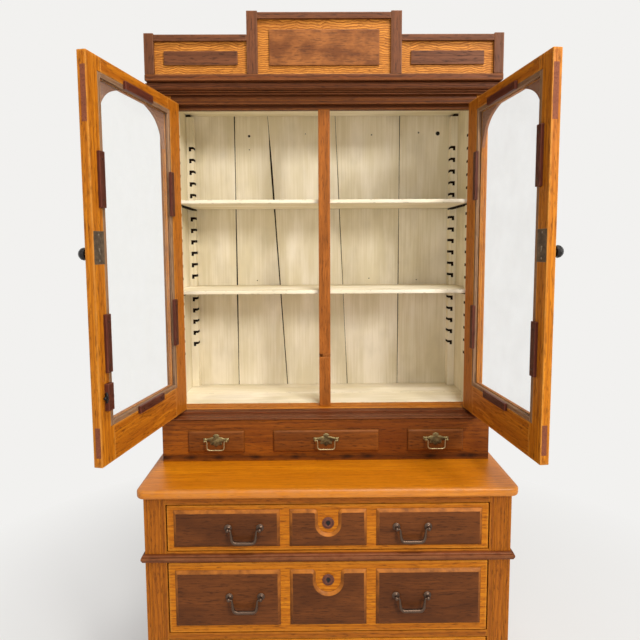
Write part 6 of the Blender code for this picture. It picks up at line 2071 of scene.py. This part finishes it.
@dataclass
class Studio:
    """A plain pale floor, soft lamps and the photograph's camera."""

    floor_half: float = 9.0
    camera_place: Triple = (-0.0421, -1.4033, 1.422)
    yaw: float = -0.0076
    pitch: float = 0.0885
    roll: float = -0.0055
    lens: float = 30.066
    shift: Pair = (0.0072, -0.0402)

    def seen_share(self, add: Adder) -> bpy.types.Node:
        """1 for a ray that the camera, a mirror or glass sends, and 0 for light that falls on the object."""
        path = add("LightPath")
        seen = add("Math", {0: path.outputs["Is Camera Ray"], 1: path.outputs["Is Glossy Ray"]},
                   operation="MAXIMUM")
        return add("Math", {0: seen, 1: path.outputs["Is Transmission Ray"]}, operation="MAXIMUM")

    def floor(self) -> None:
        """A pale floor that keeps the object's shadow and fades into the backdrop's colour away from it."""
        half = self.floor_half
        mesh = bpy.data.meshes.new("studio_floor")
        mesh.from_pydata([(-half, -half, 0), (half, -half, 0), (half, half, 0), (-half, half, 0)],
                         [], [(0, 1, 2, 3)])
        made, add, shader = new_material("studio_floor_matt")
        place = add("TexCoord").outputs["Object"]
        cloud = add("TexNoise", {"Vector": place, "Scale": 3.0, "Detail": 3.0})
        tone = add("Mix", {0: cloud, 6: "#EDEBE8", 7: "#F2F1EF"}, data_type="RGBA")
        wire(shader, {"Base Color": tone})
        shader.inputs["Roughness"].default_value = 0.9
        far = add("VectorMath", {0: place, 1: (0.0, 0.3, 0.0)}, operation="DISTANCE")
        fade = add("MapRange", {"Value": far, "From Min": 0.5, "From Max": 1.9, "To Min": 0.35})
        glow = add("Emission", {"Color": "#F2F1EF", "Strength": 1.0})
        seen = add("Math", {0: fade, 1: self.seen_share(add)}, operation="MULTIPLY")
        mixed = add("MixShader", {0: seen, 1: shader, 2: glow})
        wire(made.node_tree.nodes["Material Output"], {"Surface": mixed})
        mesh.materials.append(made)
        item = bpy.data.objects.new("studio_floor", mesh)
        bpy.context.scene.collection.objects.link(item)

    def world(self) -> None:
        """Even light from all round, and a white background for the camera, mirrors and glass."""
        world = bpy.data.worlds.new("studio_light")
        bpy.context.scene.world = world
        world.use_nodes = True
        world.node_tree.nodes.clear()
        add = partial(add_node, world.node_tree)
        light = add("Background", {"Color": (1.0, 0.99, 0.97, 1.0), "Strength": 0.27})
        backdrop = add("Background", {"Color": "#F2F1EF", "Strength": 1.0})
        mixed = add("MixShader", {0: self.seen_share(add), 1: light, 2: backdrop})
        add("OutputWorld", {"Surface": mixed})

    def lamp(self, name: str, place: Triple, aim: Triple, size: float, power: float,
             colour: Triple = (1.0, 1.0, 1.0)) -> None:
        """One large square lamp.

        Args:
            name: Its name.
            place: Where it hangs.
            aim: The point that it faces.
            size: Its side.
            power: Its power in watts.
            colour: Its linear colour.
        """
        light = bpy.data.lights.new(name, "AREA")
        light.shape, light.size, light.energy, light.color = "SQUARE", size, power, colour
        item = bpy.data.objects.new(name, light)
        start, end = np.array(place), np.array(aim)
        back = (start - end) / np.linalg.norm(start - end)
        side = np.cross((0, 0, 1), back)
        side = side / np.linalg.norm(side)
        turn = Matrix(np.stack([side, np.cross(back, side), back], 1).tolist()).to_4x4()
        item.matrix_world = Matrix.Translation(place) @ turn
        bpy.context.scene.collection.objects.link(item)

    def camera(self) -> None:
        """The camera at the photograph's place: turned by its yaw, tipped by its pitch and rolled."""
        yaw, pitch, roll = self.yaw, self.pitch, self.roll
        right = np.array([math.cos(yaw), math.sin(yaw), 0.0])
        ahead = np.array([-math.sin(yaw) * math.cos(pitch), math.cos(yaw) * math.cos(pitch),
                          -math.sin(pitch)])
        up = np.cross(right, ahead)
        side = math.cos(roll) * right + math.sin(roll) * up
        top = -math.sin(roll) * right + math.cos(roll) * up
        data = bpy.data.cameras.new("photo_camera")
        data.sensor_width, data.lens = 36.0, self.lens
        data.shift_x, data.shift_y = self.shift
        data.clip_start = 0.05
        item = bpy.data.objects.new("photo_camera", data)
        turn = Matrix(np.stack([side, top, -ahead], 1).tolist()).to_4x4()
        item.matrix_world = Matrix.Translation(self.camera_place) @ turn
        bpy.context.scene.collection.objects.link(item)
        bpy.context.scene.camera = item

    def build(self) -> None:
        """Set the floor, the lights and the camera."""
        self.floor()
        self.world()
        self.lamp("key_lamp", (2.2, -3.0, 2.9), (0.0, 0.3, 1.2), 0.9, 104.0, (1.0, 0.98, 0.95))
        self.lamp("top_lamp", (0.5, -1.7, 4.5), (0.0, 0.2, 1.2), 0.8, 96.0, (1.0, 0.98, 0.95))
        self.lamp("fill_lamp", (-1.3, -4.4, 1.8), (0.0, 0.3, 1.2), 2.0, 30.0)
        self.camera()
        bpy.context.scene.view_settings.view_transform = "Standard"


def main() -> None:
    """Build every part of the cabinet in order, then the studio."""
    logging.basicConfig(level=logging.INFO, format="%(message)s")
    chest = Chest()
    chest.dress()
    drawer_names = ("drawer_top", "drawer_middle", "drawer_bottom")
    details = ((0.013, 0.028, 0.061), (0.022, 0.035, 0.095), (0.022, 0.035, 0.095))
    for name, (base, height), (margin, dip, pull_drop) in zip(drawer_names, chest.drawers, details):
        LargeDrawer(name, base, height, margin, dip, pull_drop).dress()
    waist = Waist()
    waist.dress()
    for word, middle, width in zip(("left", "centre", "right"), waist.middles, waist.widths):
        SmallDrawer(f"small_drawer_{word}", middle, width).dress()
    UpperCase().dress()
    Shelf("shelf_lower", 1.27205).dress()
    Shelf("shelf_upper", 1.55905).dress()
    Cornice().dress()
    Crest().dress()
    left_dark = (((0.5986, 0.7256), (0.2180, 0.3550)), ((0.5986, 0.7256), (0.2180, 0.3550)),
                 ((0.175, 0.312),), ((0.162, 0.295),))
    right_dark = (((0.6416, 0.7806), (0.2016, 0.3316)), ((0.6416, 0.7806), (0.2016, 0.3316)),
                  ((0.145, 0.305),), ((0.162, 0.295),))
    Door(Side.LEFT, 101.4, left_dark).dress()
    Door(Side.RIGHT, 96.2, right_dark).dress()
    Studio().build()


if __name__ == "__main__":
    main()
